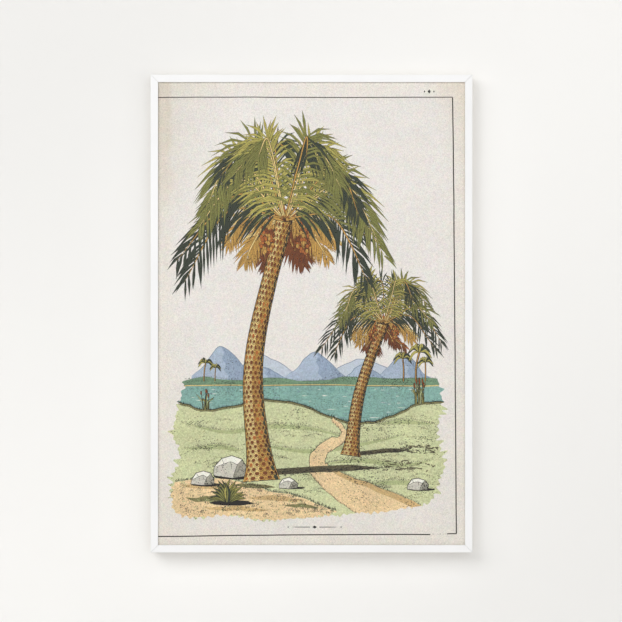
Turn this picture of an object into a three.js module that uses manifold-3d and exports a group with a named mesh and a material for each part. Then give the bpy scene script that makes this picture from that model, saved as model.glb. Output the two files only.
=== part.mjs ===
// A slim white box frame with a glazed paper print, made to hang upright on a wall.
//
// Four mitred wooden rails of L-shaped section hold the glazing, the print and a fibreboard back against
// their front lip. Steel points driven into the rebate keep that stack in, and a V-nail pins each mitre from
// behind. A sawtooth hanger nailed to the top rail takes the wall hook, and two felt pads on the bottom rail
// keep the frame parallel to the wall.
//
// Millimetres. +X to the viewer's right, +Z up, and the front faces -Y. The wall is the plane y = 0, and the
// origin is where the hook bears: the top of the hanger's middle notch, on that plane.

import * as THREE from "three";
import { mergeVertices } from "three/addons/utils/BufferGeometryUtils.js";
import Module from "manifold-3d";

const wasm = await Module();
wasm.setup();

// Driving dimensions.
const PRINT = { width: 400, height: 600, thickness: 0.3 };
const RAIL = {
  face: 9.5, // width seen from the front
  depth: 22,
  lip: 1.2, // thickness of the lip in front of the glazing
  cover: 3.2, // how far the lip covers the edge of the print
  room: 0.8, // between the edge of the print and the side of the rebate
};
const ROUNDING = { outerFront: 0.5, innerFront: 0.3, lipBack: 0.3, rebateBack: 0.4, outerBack: 0.6 };
const STAND_OFF = 2; // between the wall and the backs of the rails
const GLAZING = { oversize: 1, thickness: 0.8 };
const BOARD = { corner: 1.5, thickness: 3 };
const POINT = { width: 6, length: 17, thickness: 0.6, sunk: 3.5, acrossPitch: 130, upPitch: 150 };
const V_NAIL = { leg: 3.2, thickness: 0.5, depth: 10, opening: THREE.MathUtils.degToRad(110), sunk: 0.1 };
const HANGER = { length: 42, height: 6.2, thickness: 0.8, tab: 7, ramp: 1.5, corner: 1.4, below: 0.6 };
const TEETH = { count: 11, pitch: 2.2, depth: 1.2 };
const NAIL = { shank: 1.3, length: 9, taper: 1.5, head: 3.4, headThickness: 0.7, rim: 0.3 };
const PAD = { length: 14, height: 4.4, corner: 1, inset: 12 };
const GAP = 0.1; // between two pieces that lie on or in each other
const MITRE_GAP = 0.2;
const PAST = 1; // how far a cutting solid runs past the face that it opens

// What follows from them.
const rebateSide = RAIL.face - RAIL.cover - RAIL.room; // thickness of the rail beside the rebate
const outer = {
  width: PRINT.width + 2 * (RAIL.room + rebateSide),
  height: PRINT.height + 2 * (RAIL.room + rebateSide),
};
const railBack = -STAND_OFF;
const railFront = railBack - RAIL.depth;
const glazingFront = railFront + RAIL.lip + GAP;
const printFront = glazingFront + GLAZING.thickness + GAP;
const boardFront = printFront + PRINT.thickness + GAP;
const pointFront = boardFront + BOARD.thickness + GAP;
const tabFront = railBack + GAP;
const frameTop = HANGER.below + HANGER.height - TEETH.depth;
const centreZ = frameTop - outer.height / 2;
const hangerNail = {
  x: HANGER.length / 2 - HANGER.tab / 2,
  z: frameTop - (HANGER.below + rebateSide) / 2,
};

const FINISHES = {
  lacquer: { color: 0xf7f7f7, roughness: 0.45, metalness: 0 },
  acrylic: { color: 0xeaf2f0, roughness: 0.05, metalness: 0, transparent: true, opacity: 0.15 },
  paper: { color: 0xe8e4dd, roughness: 0.9, metalness: 0 },
  fibreboard: { color: 0x8a6a48, roughness: 0.85, metalness: 0 },
  steel: { color: 0xb9bcc0, roughness: 0.35, metalness: 1 },
  felt: { color: 0x8f8d88, roughness: 1, metalness: 0 },
};

// Rails are modelled at the top of the frame and turned about its centre to their own side.
const SIDES = [
  { name: "top", turn: 0, length: outer.width, reach: outer.height / 2 },
  { name: "right", turn: Math.PI / 2, length: outer.height, reach: outer.width / 2 },
  { name: "bottom", turn: Math.PI, length: outer.width, reach: outer.height / 2 },
  { name: "left", turn: -Math.PI / 2, length: outer.height, reach: outer.width / 2 },
];

// ---- Solids and shapes ----

// A closed geometry as a solid that can be joined and cut.
function toSolid(geometry) {
  const bare = geometry.clone();
  bare.deleteAttribute("normal");
  bare.deleteAttribute("uv");
  const merged = mergeVertices(bare);
  return new wasm.Manifold(
    new wasm.Mesh({
      numProp: 3,
      vertProperties: merged.attributes.position.array,
      triVerts: Uint32Array.from(merged.index.array),
    }),
  );
}

// A solid as a geometry with flat faces.
function toGeometry(solid) {
  const { vertProperties, triVerts } = solid.getMesh();
  const indexed = new THREE.BufferGeometry();
  indexed.setAttribute("position", new THREE.BufferAttribute(vertProperties, 3));
  indexed.setIndex(new THREE.BufferAttribute(triVerts, 1));
  const geometry = indexed.toNonIndexed();
  geometry.computeVertexNormals();
  return geometry;
}

// An outline with square corners, each [x, y, radius], listed anticlockwise and rounded by true arcs.
function roundedOutline(corners) {
  const shape = new THREE.Shape();
  corners.forEach(([x, y, radius], i) => {
    const corner = new THREE.Vector2(x, y);
    const [before, after] = [corners.at(i - 1), corners[(i + 1) % corners.length]].map(([nextX, nextY]) =>
      new THREE.Vector2(nextX, nextY).sub(corner).normalize(),
    );
    const centre = corner.clone().addScaledVector(before, radius).addScaledVector(after, radius);
    const hollow = before.cross(after) > 0;
    if (radius > 0) shape.absarc(centre.x, centre.y, radius, after.negate().angle(), before.negate().angle(), hollow);
    else if (i > 0) shape.lineTo(x, y);
    else shape.moveTo(x, y);
  });
  shape.closePath();
  return shape;
}

function rectangle(width, height, radius = 0) {
  const [x, z] = [width / 2, height / 2];
  return roundedOutline([[-x, -z, radius], [x, -z, radius], [x, z, radius], [-x, z, radius]]);
}

// A shape drawn in X and Z, made solid from y = front to y = back.
function slab(shape, front, back) {
  const geometry = new THREE.ExtrudeGeometry(shape, { depth: back - front, bevelEnabled: false, curveSegments: 6 });
  geometry.rotateX(Math.PI / 2);
  geometry.translate(0, back, 0);
  return geometry;
}

// Distances of `count` places at one pitch, either side of the middle.
function spread(count, pitch) {
  return Array.from({ length: count }, (_, i) => (i - (count - 1) / 2) * pitch);
}

// The place on a side of a piece that is modelled with z = 0 on the outer edge and x = 0 at mid-rail.
function seat(side, along = 0, inward = 0) {
  return new THREE.Matrix4()
    .makeTranslation(0, 0, centreZ)
    .multiply(new THREE.Matrix4().makeRotationY(side.turn))
    .multiply(new THREE.Matrix4().makeTranslation(along, 0, side.reach - inward));
}

// ---- Fittings, each with the slot that it needs in the rails ----

function pointOutline() {
  const half = POINT.width / 2;
  const tipCentre = half - (POINT.length - POINT.sunk);
  const shape = new THREE.Shape();
  shape.moveTo(-half, POINT.sunk);
  shape.absarc(0, tipCentre, half, Math.PI, 2 * Math.PI);
  shape.lineTo(half, POINT.sunk);
  shape.closePath();
  return shape;
}

function pointsOf(side) {
  const upright = side.length > outer.width;
  const places = upright ? spread(4, POINT.upPitch) : spread(3, POINT.acrossPitch);
  const back = pointFront + POINT.thickness;
  const slotOutline = rectangle(POINT.width + 2 * GAP, 2 * (POINT.sunk + GAP));
  return places.map((along, i) => ({
    name: `point_${side.name}_${i + 1}`,
    shape: slab(pointOutline(), pointFront, back),
    slot: slab(slotOutline, pointFront - GAP, back + GAP),
    place: seat(side, along, rebateSide),
  }));
}

// A bent strip with its bend upwards, made larger all round by `grow`.
function vOutline(grow) {
  const half = V_NAIL.opening / 2;
  const along = new THREE.Vector2(Math.sin(half), -Math.cos(half)).multiplyScalar(V_NAIL.leg + grow);
  const across = new THREE.Vector2(Math.cos(half), Math.sin(half)).multiplyScalar(V_NAIL.thickness / 2 + grow);
  const bend = across.length() / Math.sin(half);
  const end = along.clone().add(across);
  const inside = along.clone().sub(across);
  return new THREE.Shape(
    [[0, bend], [-end.x, end.y], [-inside.x, inside.y], [0, -bend], [inside.x, inside.y], [end.x, end.y]].map(
      ([x, z]) => new THREE.Vector2(x, z),
    ),
  );
}

// The V-nail across the mitre at the end of a side, its bend towards the outer corner.
function vNailOf(side, i) {
  const next = SIDES[(i + 1) % SIDES.length];
  const back = railBack - V_NAIL.sunk;
  const front = back - V_NAIL.depth;
  return {
    name: `v_nail_${side.name}_${next.name}`,
    shape: slab(vOutline(0), front, back),
    slot: slab(vOutline(GAP), front - GAP, railBack + PAST),
    place: seat(side, side.length / 2 - rebateSide / 2, rebateSide / 2).multiply(
      new THREE.Matrix4().makeRotationY(Math.PI / 4),
    ),
  };
}

// A nail along Y with its point forwards and y = 0 under its head.
function nailShape() {
  const [shank, head] = [NAIL.shank / 2, NAIL.head / 2];
  const profile = [
    [0, -NAIL.length],
    [shank, NAIL.taper - NAIL.length],
    [shank, 0],
    [head, 0],
    [head, NAIL.headThickness - NAIL.rim],
    [head - NAIL.rim, NAIL.headThickness],
    [0, NAIL.headThickness],
  ];
  return new THREE.LatheGeometry(profile.map(([x, y]) => new THREE.Vector2(x, y)), 20);
}

// A round hole along Y for a nail's shank, from `front` to `back`.
function nailHole(front, back) {
  const hole = new THREE.CylinderGeometry(NAIL.shank / 2 + GAP, NAIL.shank / 2 + GAP, back - front, 20);
  hole.translate(0, (front + back) / 2, 0);
  return hole;
}

function hangerNails() {
  const underHead = tabFront + HANGER.thickness + GAP;
  return [["left", -1], ["right", 1]].map(([name, hand]) => ({
    name: `hanger_nail_${name}`,
    shape: nailShape(),
    slot: nailHole(-NAIL.length - GAP, PAST),
    place: new THREE.Matrix4().makeTranslation(hand * hangerNail.x, underHead, hangerNail.z),
  }));
}

// ---- The hanger ----

// A strip bent so that its middle stands off the rail, with notches along its lower edge.
function hangerShape() {
  const { length, height, thickness, tab, ramp } = HANGER;
  const end = length / 2;
  const tabBack = tabFront + thickness;
  const bends = [[end, tabBack], [end - tab, tabBack], [end - tab - ramp, 0]];
  const back = [...bends, ...bends.map(([x, y]) => [-x, y]).reverse()];
  const front = back.map(([x, y]) => [x, y - thickness]).reverse();
  const section = new THREE.Shape([...back, ...front].map(([x, y]) => new THREE.Vector2(x, y)));
  const strip = new THREE.ExtrudeGeometry(section, { depth: height, bevelEnabled: false });
  strip.translate(0, 0, -TEETH.depth);

  const outline = slab(rectangle(length, height, HANGER.corner), tabFront - PAST, PAST);
  outline.translate(0, 0, height / 2 - TEETH.depth);
  let made = toSolid(strip).intersect(toSolid(outline));

  const mouth = TEETH.depth + PAST;
  const spreadOut = ((TEETH.pitch / 2) * mouth) / TEETH.depth;
  const notch = new THREE.Shape(
    [[0, 0], [-spreadOut, -mouth], [spreadOut, -mouth]].map(([x, z]) => new THREE.Vector2(x, z)),
  );
  for (const x of spread(TEETH.count, TEETH.pitch)) {
    const cut = slab(notch, tabFront - PAST, PAST);
    cut.translate(x, 0, 0);
    made = made.subtract(toSolid(cut));
  }
  for (const x of [-hangerNail.x, hangerNail.x]) {
    const hole = nailHole(tabFront - PAST, PAST);
    hole.translate(x, 0, hangerNail.z);
    made = made.subtract(toSolid(hole));
  }
  return toGeometry(made);
}

// ---- Rails ----

// The section: X runs inwards from the outer face, and Y runs back from the front.
function railSection() {
  return roundedOutline([
    [0, 0, ROUNDING.outerFront],
    [RAIL.face, 0, ROUNDING.innerFront],
    [RAIL.face, RAIL.lip, ROUNDING.lipBack],
    [rebateSide, RAIL.lip, 0],
    [rebateSide, RAIL.depth, ROUNDING.rebateBack],
    [0, RAIL.depth, ROUNDING.outerBack],
  ]);
}

// A rail of this length along X with its outer face up at z = 0, mitred at both ends.
function railSolid(length) {
  const bar = new THREE.ExtrudeGeometry(railSection(), { depth: length, bevelEnabled: false, curveSegments: 5 });
  bar.rotateY(Math.PI / 2);
  bar.translate(-length / 2, railFront, 0);
  const outerHalf = length / 2 - MITRE_GAP * Math.SQRT1_2 + PAST;
  const innerHalf = outerHalf - RAIL.face - 2 * PAST;
  const plan = new THREE.Shape(
    [[-innerHalf, -RAIL.face - PAST], [innerHalf, -RAIL.face - PAST], [outerHalf, PAST], [-outerHalf, PAST]].map(
      ([x, z]) => new THREE.Vector2(x, z),
    ),
  );
  return toSolid(bar).intersect(toSolid(slab(plan, railFront - PAST, railBack + PAST)));
}

// ---- The whole ----

const frame = new THREE.Group();

function addPiece(name, geometry, finish, place = new THREE.Matrix4()) {
  const piece = new THREE.Mesh(geometry, new THREE.MeshStandardMaterial(FINISHES[finish]));
  piece.name = name;
  piece.applyMatrix4(place);
  frame.add(piece);
}

const fittings = [...SIDES.flatMap(pointsOf), ...SIDES.map(vNailOf), ...hangerNails()];
const slots = fittings.map(({ slot, place }) => toSolid(slot.applyMatrix4(place)));

for (const side of SIDES) {
  const uncut = toSolid(toGeometry(railSolid(side.length)).applyMatrix4(seat(side)));
  const rail = slots.reduce((made, slot) => made.subtract(slot), uncut);
  addPiece(`rail_${side.name}`, toGeometry(rail), "lacquer");
}

const sheets = [
  ["glazing", GLAZING.oversize, 0, glazingFront, GLAZING.thickness, "acrylic"],
  ["print", 0, 0, printFront, PRINT.thickness, "paper"],
  ["backing_board", 0, BOARD.corner, boardFront, BOARD.thickness, "fibreboard"],
];
for (const [name, oversize, corner, front, thickness, finish] of sheets) {
  const outline = rectangle(PRINT.width + oversize, PRINT.height + oversize, corner);
  addPiece(name, slab(outline, front, front + thickness), finish, new THREE.Matrix4().makeTranslation(0, 0, centreZ));
}

for (const { name, shape, place } of fittings) addPiece(name, shape, "steel", place);

addPiece("hanger", hangerShape(), "steel");

const padX = outer.width / 2 - PAD.inset - PAD.length / 2;
for (const [name, x] of [["pad_left", -padX], ["pad_right", padX]]) {
  const place = new THREE.Matrix4().makeTranslation(x, 0, frameTop - outer.height + rebateSide / 2);
  addPiece(name, slab(rectangle(PAD.length, PAD.height, PAD.corner), railBack + GAP, 0), "felt", place);
}

export default frame;
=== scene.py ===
"""A slim white frame with a glazed landscape print, hung on a pale wall in soft light.

The frame's pieces take their places and sizes from the loaded model. The print is a plate of flat printed
shapes: each motif lays its shapes one over another, and the stack is cut into a single sheet of triangles
that carries one printed colour in each. The fittings behind, which a viewer sees from the back, get their
own finishes.

Metres throughout, but the plate is drawn in millimetres from the sheet's lower left corner. A point on it is
a complex number, real across and imaginary up.
"""
import cmath
import logging
import math
from collections.abc import Sequence
from dataclasses import dataclass, field
from enum import Enum
from typing import Any

import bmesh
import bpy
import numpy as np
from bmesh.types import BMesh
from bpy.types import ID, Material, Mesh, Node, NodeSocket, NodeTree, Object, bpy_prop_collection
from mathutils import Matrix, Vector
from mathutils.geometry import delaunay_2d_cdt


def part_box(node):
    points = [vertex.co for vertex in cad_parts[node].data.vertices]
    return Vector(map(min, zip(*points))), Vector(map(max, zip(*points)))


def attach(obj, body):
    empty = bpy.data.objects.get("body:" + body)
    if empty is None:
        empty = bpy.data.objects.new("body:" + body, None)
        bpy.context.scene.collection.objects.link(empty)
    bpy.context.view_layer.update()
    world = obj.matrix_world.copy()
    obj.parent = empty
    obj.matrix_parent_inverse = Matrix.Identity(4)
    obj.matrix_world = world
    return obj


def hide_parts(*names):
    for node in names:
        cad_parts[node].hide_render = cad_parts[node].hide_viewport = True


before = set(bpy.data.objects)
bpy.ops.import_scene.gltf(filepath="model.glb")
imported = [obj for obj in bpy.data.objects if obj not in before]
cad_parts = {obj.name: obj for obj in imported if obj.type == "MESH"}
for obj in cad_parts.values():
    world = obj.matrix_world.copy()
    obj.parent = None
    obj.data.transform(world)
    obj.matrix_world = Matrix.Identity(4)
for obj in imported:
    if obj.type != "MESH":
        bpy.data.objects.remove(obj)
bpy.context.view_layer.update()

Line = np.ndarray  # points on the plate
Points = Sequence[complex]
Pair = tuple[float, float]
Triple = tuple[float, float, float]
Rgb = tuple[int, int, int]  # a display colour, from 0 to 255
Rgba = tuple[float, float, float, float]

LOG = logging.getLogger("framed_print")
MM = 0.001
BODY = "root"
SEED = 11


# ---- Colours ----

def linear(colour: Sequence[int], gain: float = 1.0) -> Rgba:
    """Turn a display colour into the light that a surface gives back.

    Args:
        colour: Red, green and blue from 0 to 255.
        gain: A factor on the result.

    Returns:
        Linear red, green and blue, with an alpha of 1.
    """
    shares = [c / 255 for c in colour]
    lit = [s / 12.92 if s < 0.04045 else ((s + 0.055) / 1.055) ** 2.4 for s in shares]
    return (*(min(1.0, v * gain) for v in lit), 1.0)


@dataclass(frozen=True)
class Wash:
    """One printed colour: its tone, how thickly dots lie in it, and how unevenly it was laid."""

    name: str
    colour: Rgb
    stipple: float = 0.0
    unevenness: float = 0.6
    plain: bool = False


class Tint(Enum):
    """The colours that the plate is printed in."""

    PAPER = Wash("paper", (228, 223, 218), 0.0, 0.2)
    HILL = Wash("hill blue", (168, 182, 200), 0.1)
    HILL_FAR = Wash("far blue", (189, 198, 209), 0.05, 0.4)
    HILL_SHADE = Wash("hill shade", (148, 164, 185), 0.4)
    LAKE = Wash("lake teal", (132, 172, 163), 0.3, 0.9)
    LAKE_DEEP = Wash("deep teal", (98, 144, 138), 0.3, 0.8)
    SHORE = Wash("shore green", (112, 142, 114), 0.5, 0.9)
    MEADOW = Wash("meadow green", (201, 205, 161), 0.5, 0.8)
    MEADOW_SHADE = Wash("meadow shade", (172, 180, 132), 1.0, 0.9)
    BANK = Wash("bank olive", (128, 124, 82), 1.0, 0.9)
    SAND = Wash("sand", (229, 202, 158), 0.35, 0.8)
    SAND_SHADE = Wash("sand shade", (202, 172, 122), 0.8, 0.9)
    SHADOW = Wash("ground shadow", (92, 86, 64), 1.1, 0.9)
    LEAF = Wash("leaf green", (124, 124, 66), 0.15, 0.8)
    LEAF_LIGHT = Wash("light leaf", (172, 163, 86), 0.1, 0.8)
    LEAF_DARK = Wash("dark leaf", (55, 62, 50))
    OCHRE = Wash("ochre", (190, 148, 76), 0.4, 0.9)
    OCHRE_LIGHT = Wash("light ochre", (222, 196, 130), 0.2, 0.8)
    CHESTNUT = Wash("chestnut", (116, 64, 33), 0.3, 0.9)
    CHESTNUT_DARK = Wash("dark chestnut", (76, 43, 25))
    RUST = Wash("rust", (172, 100, 50), 0.2)
    CHALK = Wash("chalk", (240, 237, 228), 0.08, 0.3)
    CHALK_SHADE = Wash("chalk shade", (203, 199, 188), 0.5, 0.5)
    STONE = Wash("stone", (158, 155, 142), 0.9, 0.7)
    INK = Wash("ink", (34, 31, 29), plain=True)
    INK_SOFT = Wash("soft ink", (92, 80, 66), plain=True)
    INK_BLUE = Wash("blue ink", (108, 124, 146), plain=True)


# ---- Lines and outlines ----

def curve(controls: Points, count: int = 24) -> Line:
    """Draw a smooth line through a few points.

    Args:
        controls: The points that the line passes through.
        count: How many points the line gets.

    Returns:
        The line.
    """
    points = np.asarray(controls, complex)
    padded = np.concatenate([[2 * points[0] - points[1]], points, [2 * points[-1] - points[-2]]])
    places = np.linspace(0, len(points) - 1, count)
    index = np.minimum(places.astype(int), len(points) - 2)
    t = places - index
    a, b, c, d = (padded[index + k] for k in range(4))
    return 0.5 * (2 * b + (c - a) * t + (2 * a - 5 * b + 4 * c - d) * t**2 + (3 * b - a - 3 * c + d) * t**3)


def normals(line: Line) -> Line:
    """The unit vectors to the left of a line."""
    along = np.gradient(line)
    return 1j * along / np.maximum(np.abs(along), 1e-9)


def at_share(line: Line, share: float) -> complex:
    """The point at a share of a line's count of points."""
    place = min(1.0, max(0.0, share)) * (len(line) - 1)
    index = min(int(place), len(line) - 2)
    return complex(line[index] + (line[index + 1] - line[index]) * (place - index))


def distances(line: Line) -> np.ndarray:
    """How far along a line each of its points is."""
    return np.concatenate([[0], np.cumsum(np.abs(np.diff(line)))])


def stroke(line: Line, width: float, start: float = 0.0, end: float = 0.0) -> Line:
    """Outline a pen stroke.

    Args:
        line: The middle of the stroke.
        width: Its greatest width.
        start: The share of the width at its first point.
        end: The share of the width at its last point.

    Returns:
        The closed outline.
    """
    t = np.linspace(0, 1, len(line))
    ease = np.minimum(1, start + (1 - start) * t * 4) * np.minimum(1, end + (1 - end) * (1 - t) * 4)
    half = normals(line) * width * ease / 2
    return np.concatenate([line + half, (line - half)[::-1]])


def hollow(line: Line, depth: float, roundness: float = 1.0) -> Line:
    """Outline the hollow that hangs below a line, a plain bow or with less roundness a fuller one."""
    dip = line - 1j * depth * np.sin(np.linspace(0, math.pi, len(line))) ** roundness
    return np.concatenate([line, dip[::-1]])


def signed_area(outline: Line) -> float:
    """The area of a closed outline, above 0 if it runs anticlockwise."""
    return float(np.sum((outline.conjugate() * np.roll(outline, -1)).imag)) / 2


@dataclass
class Plate:
    """The drawing: flat shapes in the order that they were laid down."""

    width: float = 400.0
    height: float = 600.0
    rng: np.random.Generator = field(default_factory=lambda: np.random.default_rng(SEED))
    shapes: list[tuple[Line, Tint]] = field(default_factory=list)

    def fill(self, outline: Points, tint: Tint) -> None:
        """Lay down a flat shape."""
        self.shapes.append((np.asarray(outline, complex), tint))

    def pick(self, last: Tint, *earlier: tuple[float, Tint]) -> Tint:
        """Pick a tint by chance.

        Args:
            last: The tint that is left when no other is picked.
            *earlier: The tints tried before it, in turn, each with its chance.

        Returns:
            The tint.
        """
        for chance, tint in earlier:
            if self.rng.random() < chance:
                return tint
        return last

    def pen(
        self, line: Points, width: float, tint: Tint = Tint.INK, start: float = 0.15, end: float = 0.0
    ) -> None:
        """Lay down a tapered pen stroke."""
        self.fill(stroke(np.asarray(line, complex), width, start, end), tint)

    def dash(self, start: complex, end: complex, width: float, tint: Tint = Tint.INK) -> None:
        """Lay down a short touch of the pen, thickest a third of the way along."""
        side = 1j * (end - start) / max(abs(end - start), 1e-6) * width / 2
        belly = start + (end - start) * 0.35
        self.fill([start, belly - side, end, belly + side], tint)

    def outlined(self, outline: Points, tint: Tint, weight: float) -> None:
        """Lay down a shape with an ink line round it.

        Args:
            outline: The shape's closed outline.
            tint: The colour inside.
            weight: The width of the line round it.
        """
        outline = np.asarray(outline, complex)
        along = np.roll(outline, -1) - np.roll(outline, 1)
        out = -1j * along / np.maximum(abs(along), 1e-9) * math.copysign(1, signed_area(outline))
        self.fill(outline + out * weight, Tint.INK)
        self.fill(outline, tint)

    def wander(self, line: Line, amount: float) -> Line:
        """Give a line a smooth sideways unsteadiness.

        Args:
            line: The steady line.
            amount: The spread of the unsteadiness.

        Returns:
            The line as an unsteady hand draws it.
        """
        count = max(3, len(line) // 3)
        places = np.linspace(0, count - 1, len(line))
        shifts = np.interp(places, range(count), self.rng.normal(0, amount, count))
        return line + normals(line) * shifts

    def ragged(self, controls: Points, depth: float, pitch: float) -> Line:
        """Draw the brushed-out edge of a wash.

        Args:
            controls: The points that the edge follows.
            depth: How far its tongues reach.
            pitch: The usual distance from one tongue to the next.

        Returns:
            The edge, with short tongues of unequal length on its left-hand side.
        """
        line = curve(controls, 300)
        along = distances(line)
        places = np.cumsum(pitch * self.rng.uniform(0.3, 1.2, int(2 * along[-1] / pitch)))
        places = np.concatenate([[0], places[places < along[-1]], [along[-1]]])
        at = np.interp(places, along, line.real) + 1j * np.interp(places, along, line.imag)
        tongue = self.rng.uniform(0.05, 1, len(at)) ** 1.8
        out = np.where(np.arange(len(at)) % 2, tongue, -0.4 * tongue)
        out[0] = out[-1] = 0
        return curve(at + normals(at) * out * depth, 3 * len(at))

    def blob(self, centre: complex, width: float, height: float, count: int, rough: float = 0.12) -> Line:
        """Draw a rounded, uneven closed outline.

        Args:
            centre: Its middle.
            width: Its width.
            height: Its height.
            count: How many points it gets.
            rough: How uneven it is, as a share of its size.

        Returns:
            The outline.
        """
        turn = np.linspace(0, 2 * math.pi, count, endpoint=False)
        reach = 1 + self.rng.uniform(-rough, rough, count)
        return centre + reach * (np.cos(turn) * width + 1j * np.sin(turn) * height) / 2

    def hatch(
        self, line: Line, pitch: float, length: float, lean: float, width: float = 0.5, tint: Tint = Tint.INK
    ) -> None:
        """Set short strokes along a line, like grass or the shading of a bank.

        Args:
            line: The line that the strokes stand on.
            pitch: The usual distance between strokes.
            length: Their usual length.
            lean: Their direction in degrees, 90 for upright.
            width: Their width.
            tint: Their colour.
        """
        along = distances(line)
        place = pitch * self.rng.random()
        while place < along[-1]:
            foot = complex(np.interp(place, along, line.real), np.interp(place, along, line.imag))
            foot += 1j * self.rng.normal(0, 0.4)
            reach = length * self.rng.uniform(0.5, 1.2)
            angle = math.radians(lean + self.rng.normal(0, 12))
            self.dash(foot, foot + cmath.rect(reach, angle), width * self.rng.uniform(0.8, 1.5), tint)
            place += pitch * self.rng.uniform(0.5, 1.5)


# ---- The plate's motifs ----

@dataclass
class Hill:
    """A distant hill with its right-hand flank in shade."""

    left: complex
    peak: complex
    right: complex
    strokes: int = 0  # on the shaded flank, which a far hill doesn't have
    sunk: float = 12.0  # how far the hill goes on below its foot, behind the shore
    points: int = 44  # along the ridge
    bends: int = 8  # of the line that parts the two flanks

    def draw(self, plate: Plate) -> None:
        """Lay the hill down."""
        rng = plate.rng
        low_right, low_left = self.right - 1j * self.sunk, self.left - 1j * self.sunk
        fall = self.peak.imag - self.right.imag + self.sunk
        rise = self.peak.imag - self.left.imag
        ridge = [self.left, self.left + 0.36 * (self.peak - self.left) - 0.06j * rise,
                 self.left + 0.7 * (self.peak - self.left) + 0.05j * rise, self.peak,
                 self.peak + 0.34 * (self.right - self.peak) + 0.07j * rise,
                 self.peak + 0.7 * (self.right - self.peak) - 0.05j * rise, self.right]
        top = plate.wander(curve(ridge, self.points), 0.5)
        plate.fill([*top, low_right, low_left], Tint.HILL if self.strokes else Tint.HILL_FAR)
        flank = top[self.points // 2:]
        spur = [self.peak]
        for step in range(1, self.bends):
            sway = (2.6 if step % 2 else -1.2) * rng.uniform(0.6, 1.3)
            spur.append(self.peak + complex(sway + step * 1.3, -fall * step / (self.bends - 1)))
        if self.strokes:
            plate.fill([*flank, low_right, *spur[::-1]], Tint.HILL_SHADE)
        for _ in range(self.strokes):
            start = at_share(flank, rng.random() ** 0.8 * 0.9) - 1j * rng.uniform(1, 7)
            plate.dash(start, start + complex(3.4, -rng.uniform(5, 11)), 0.5, Tint.INK_BLUE)
        plate.pen(top, 0.7, Tint.INK_BLUE)


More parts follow.
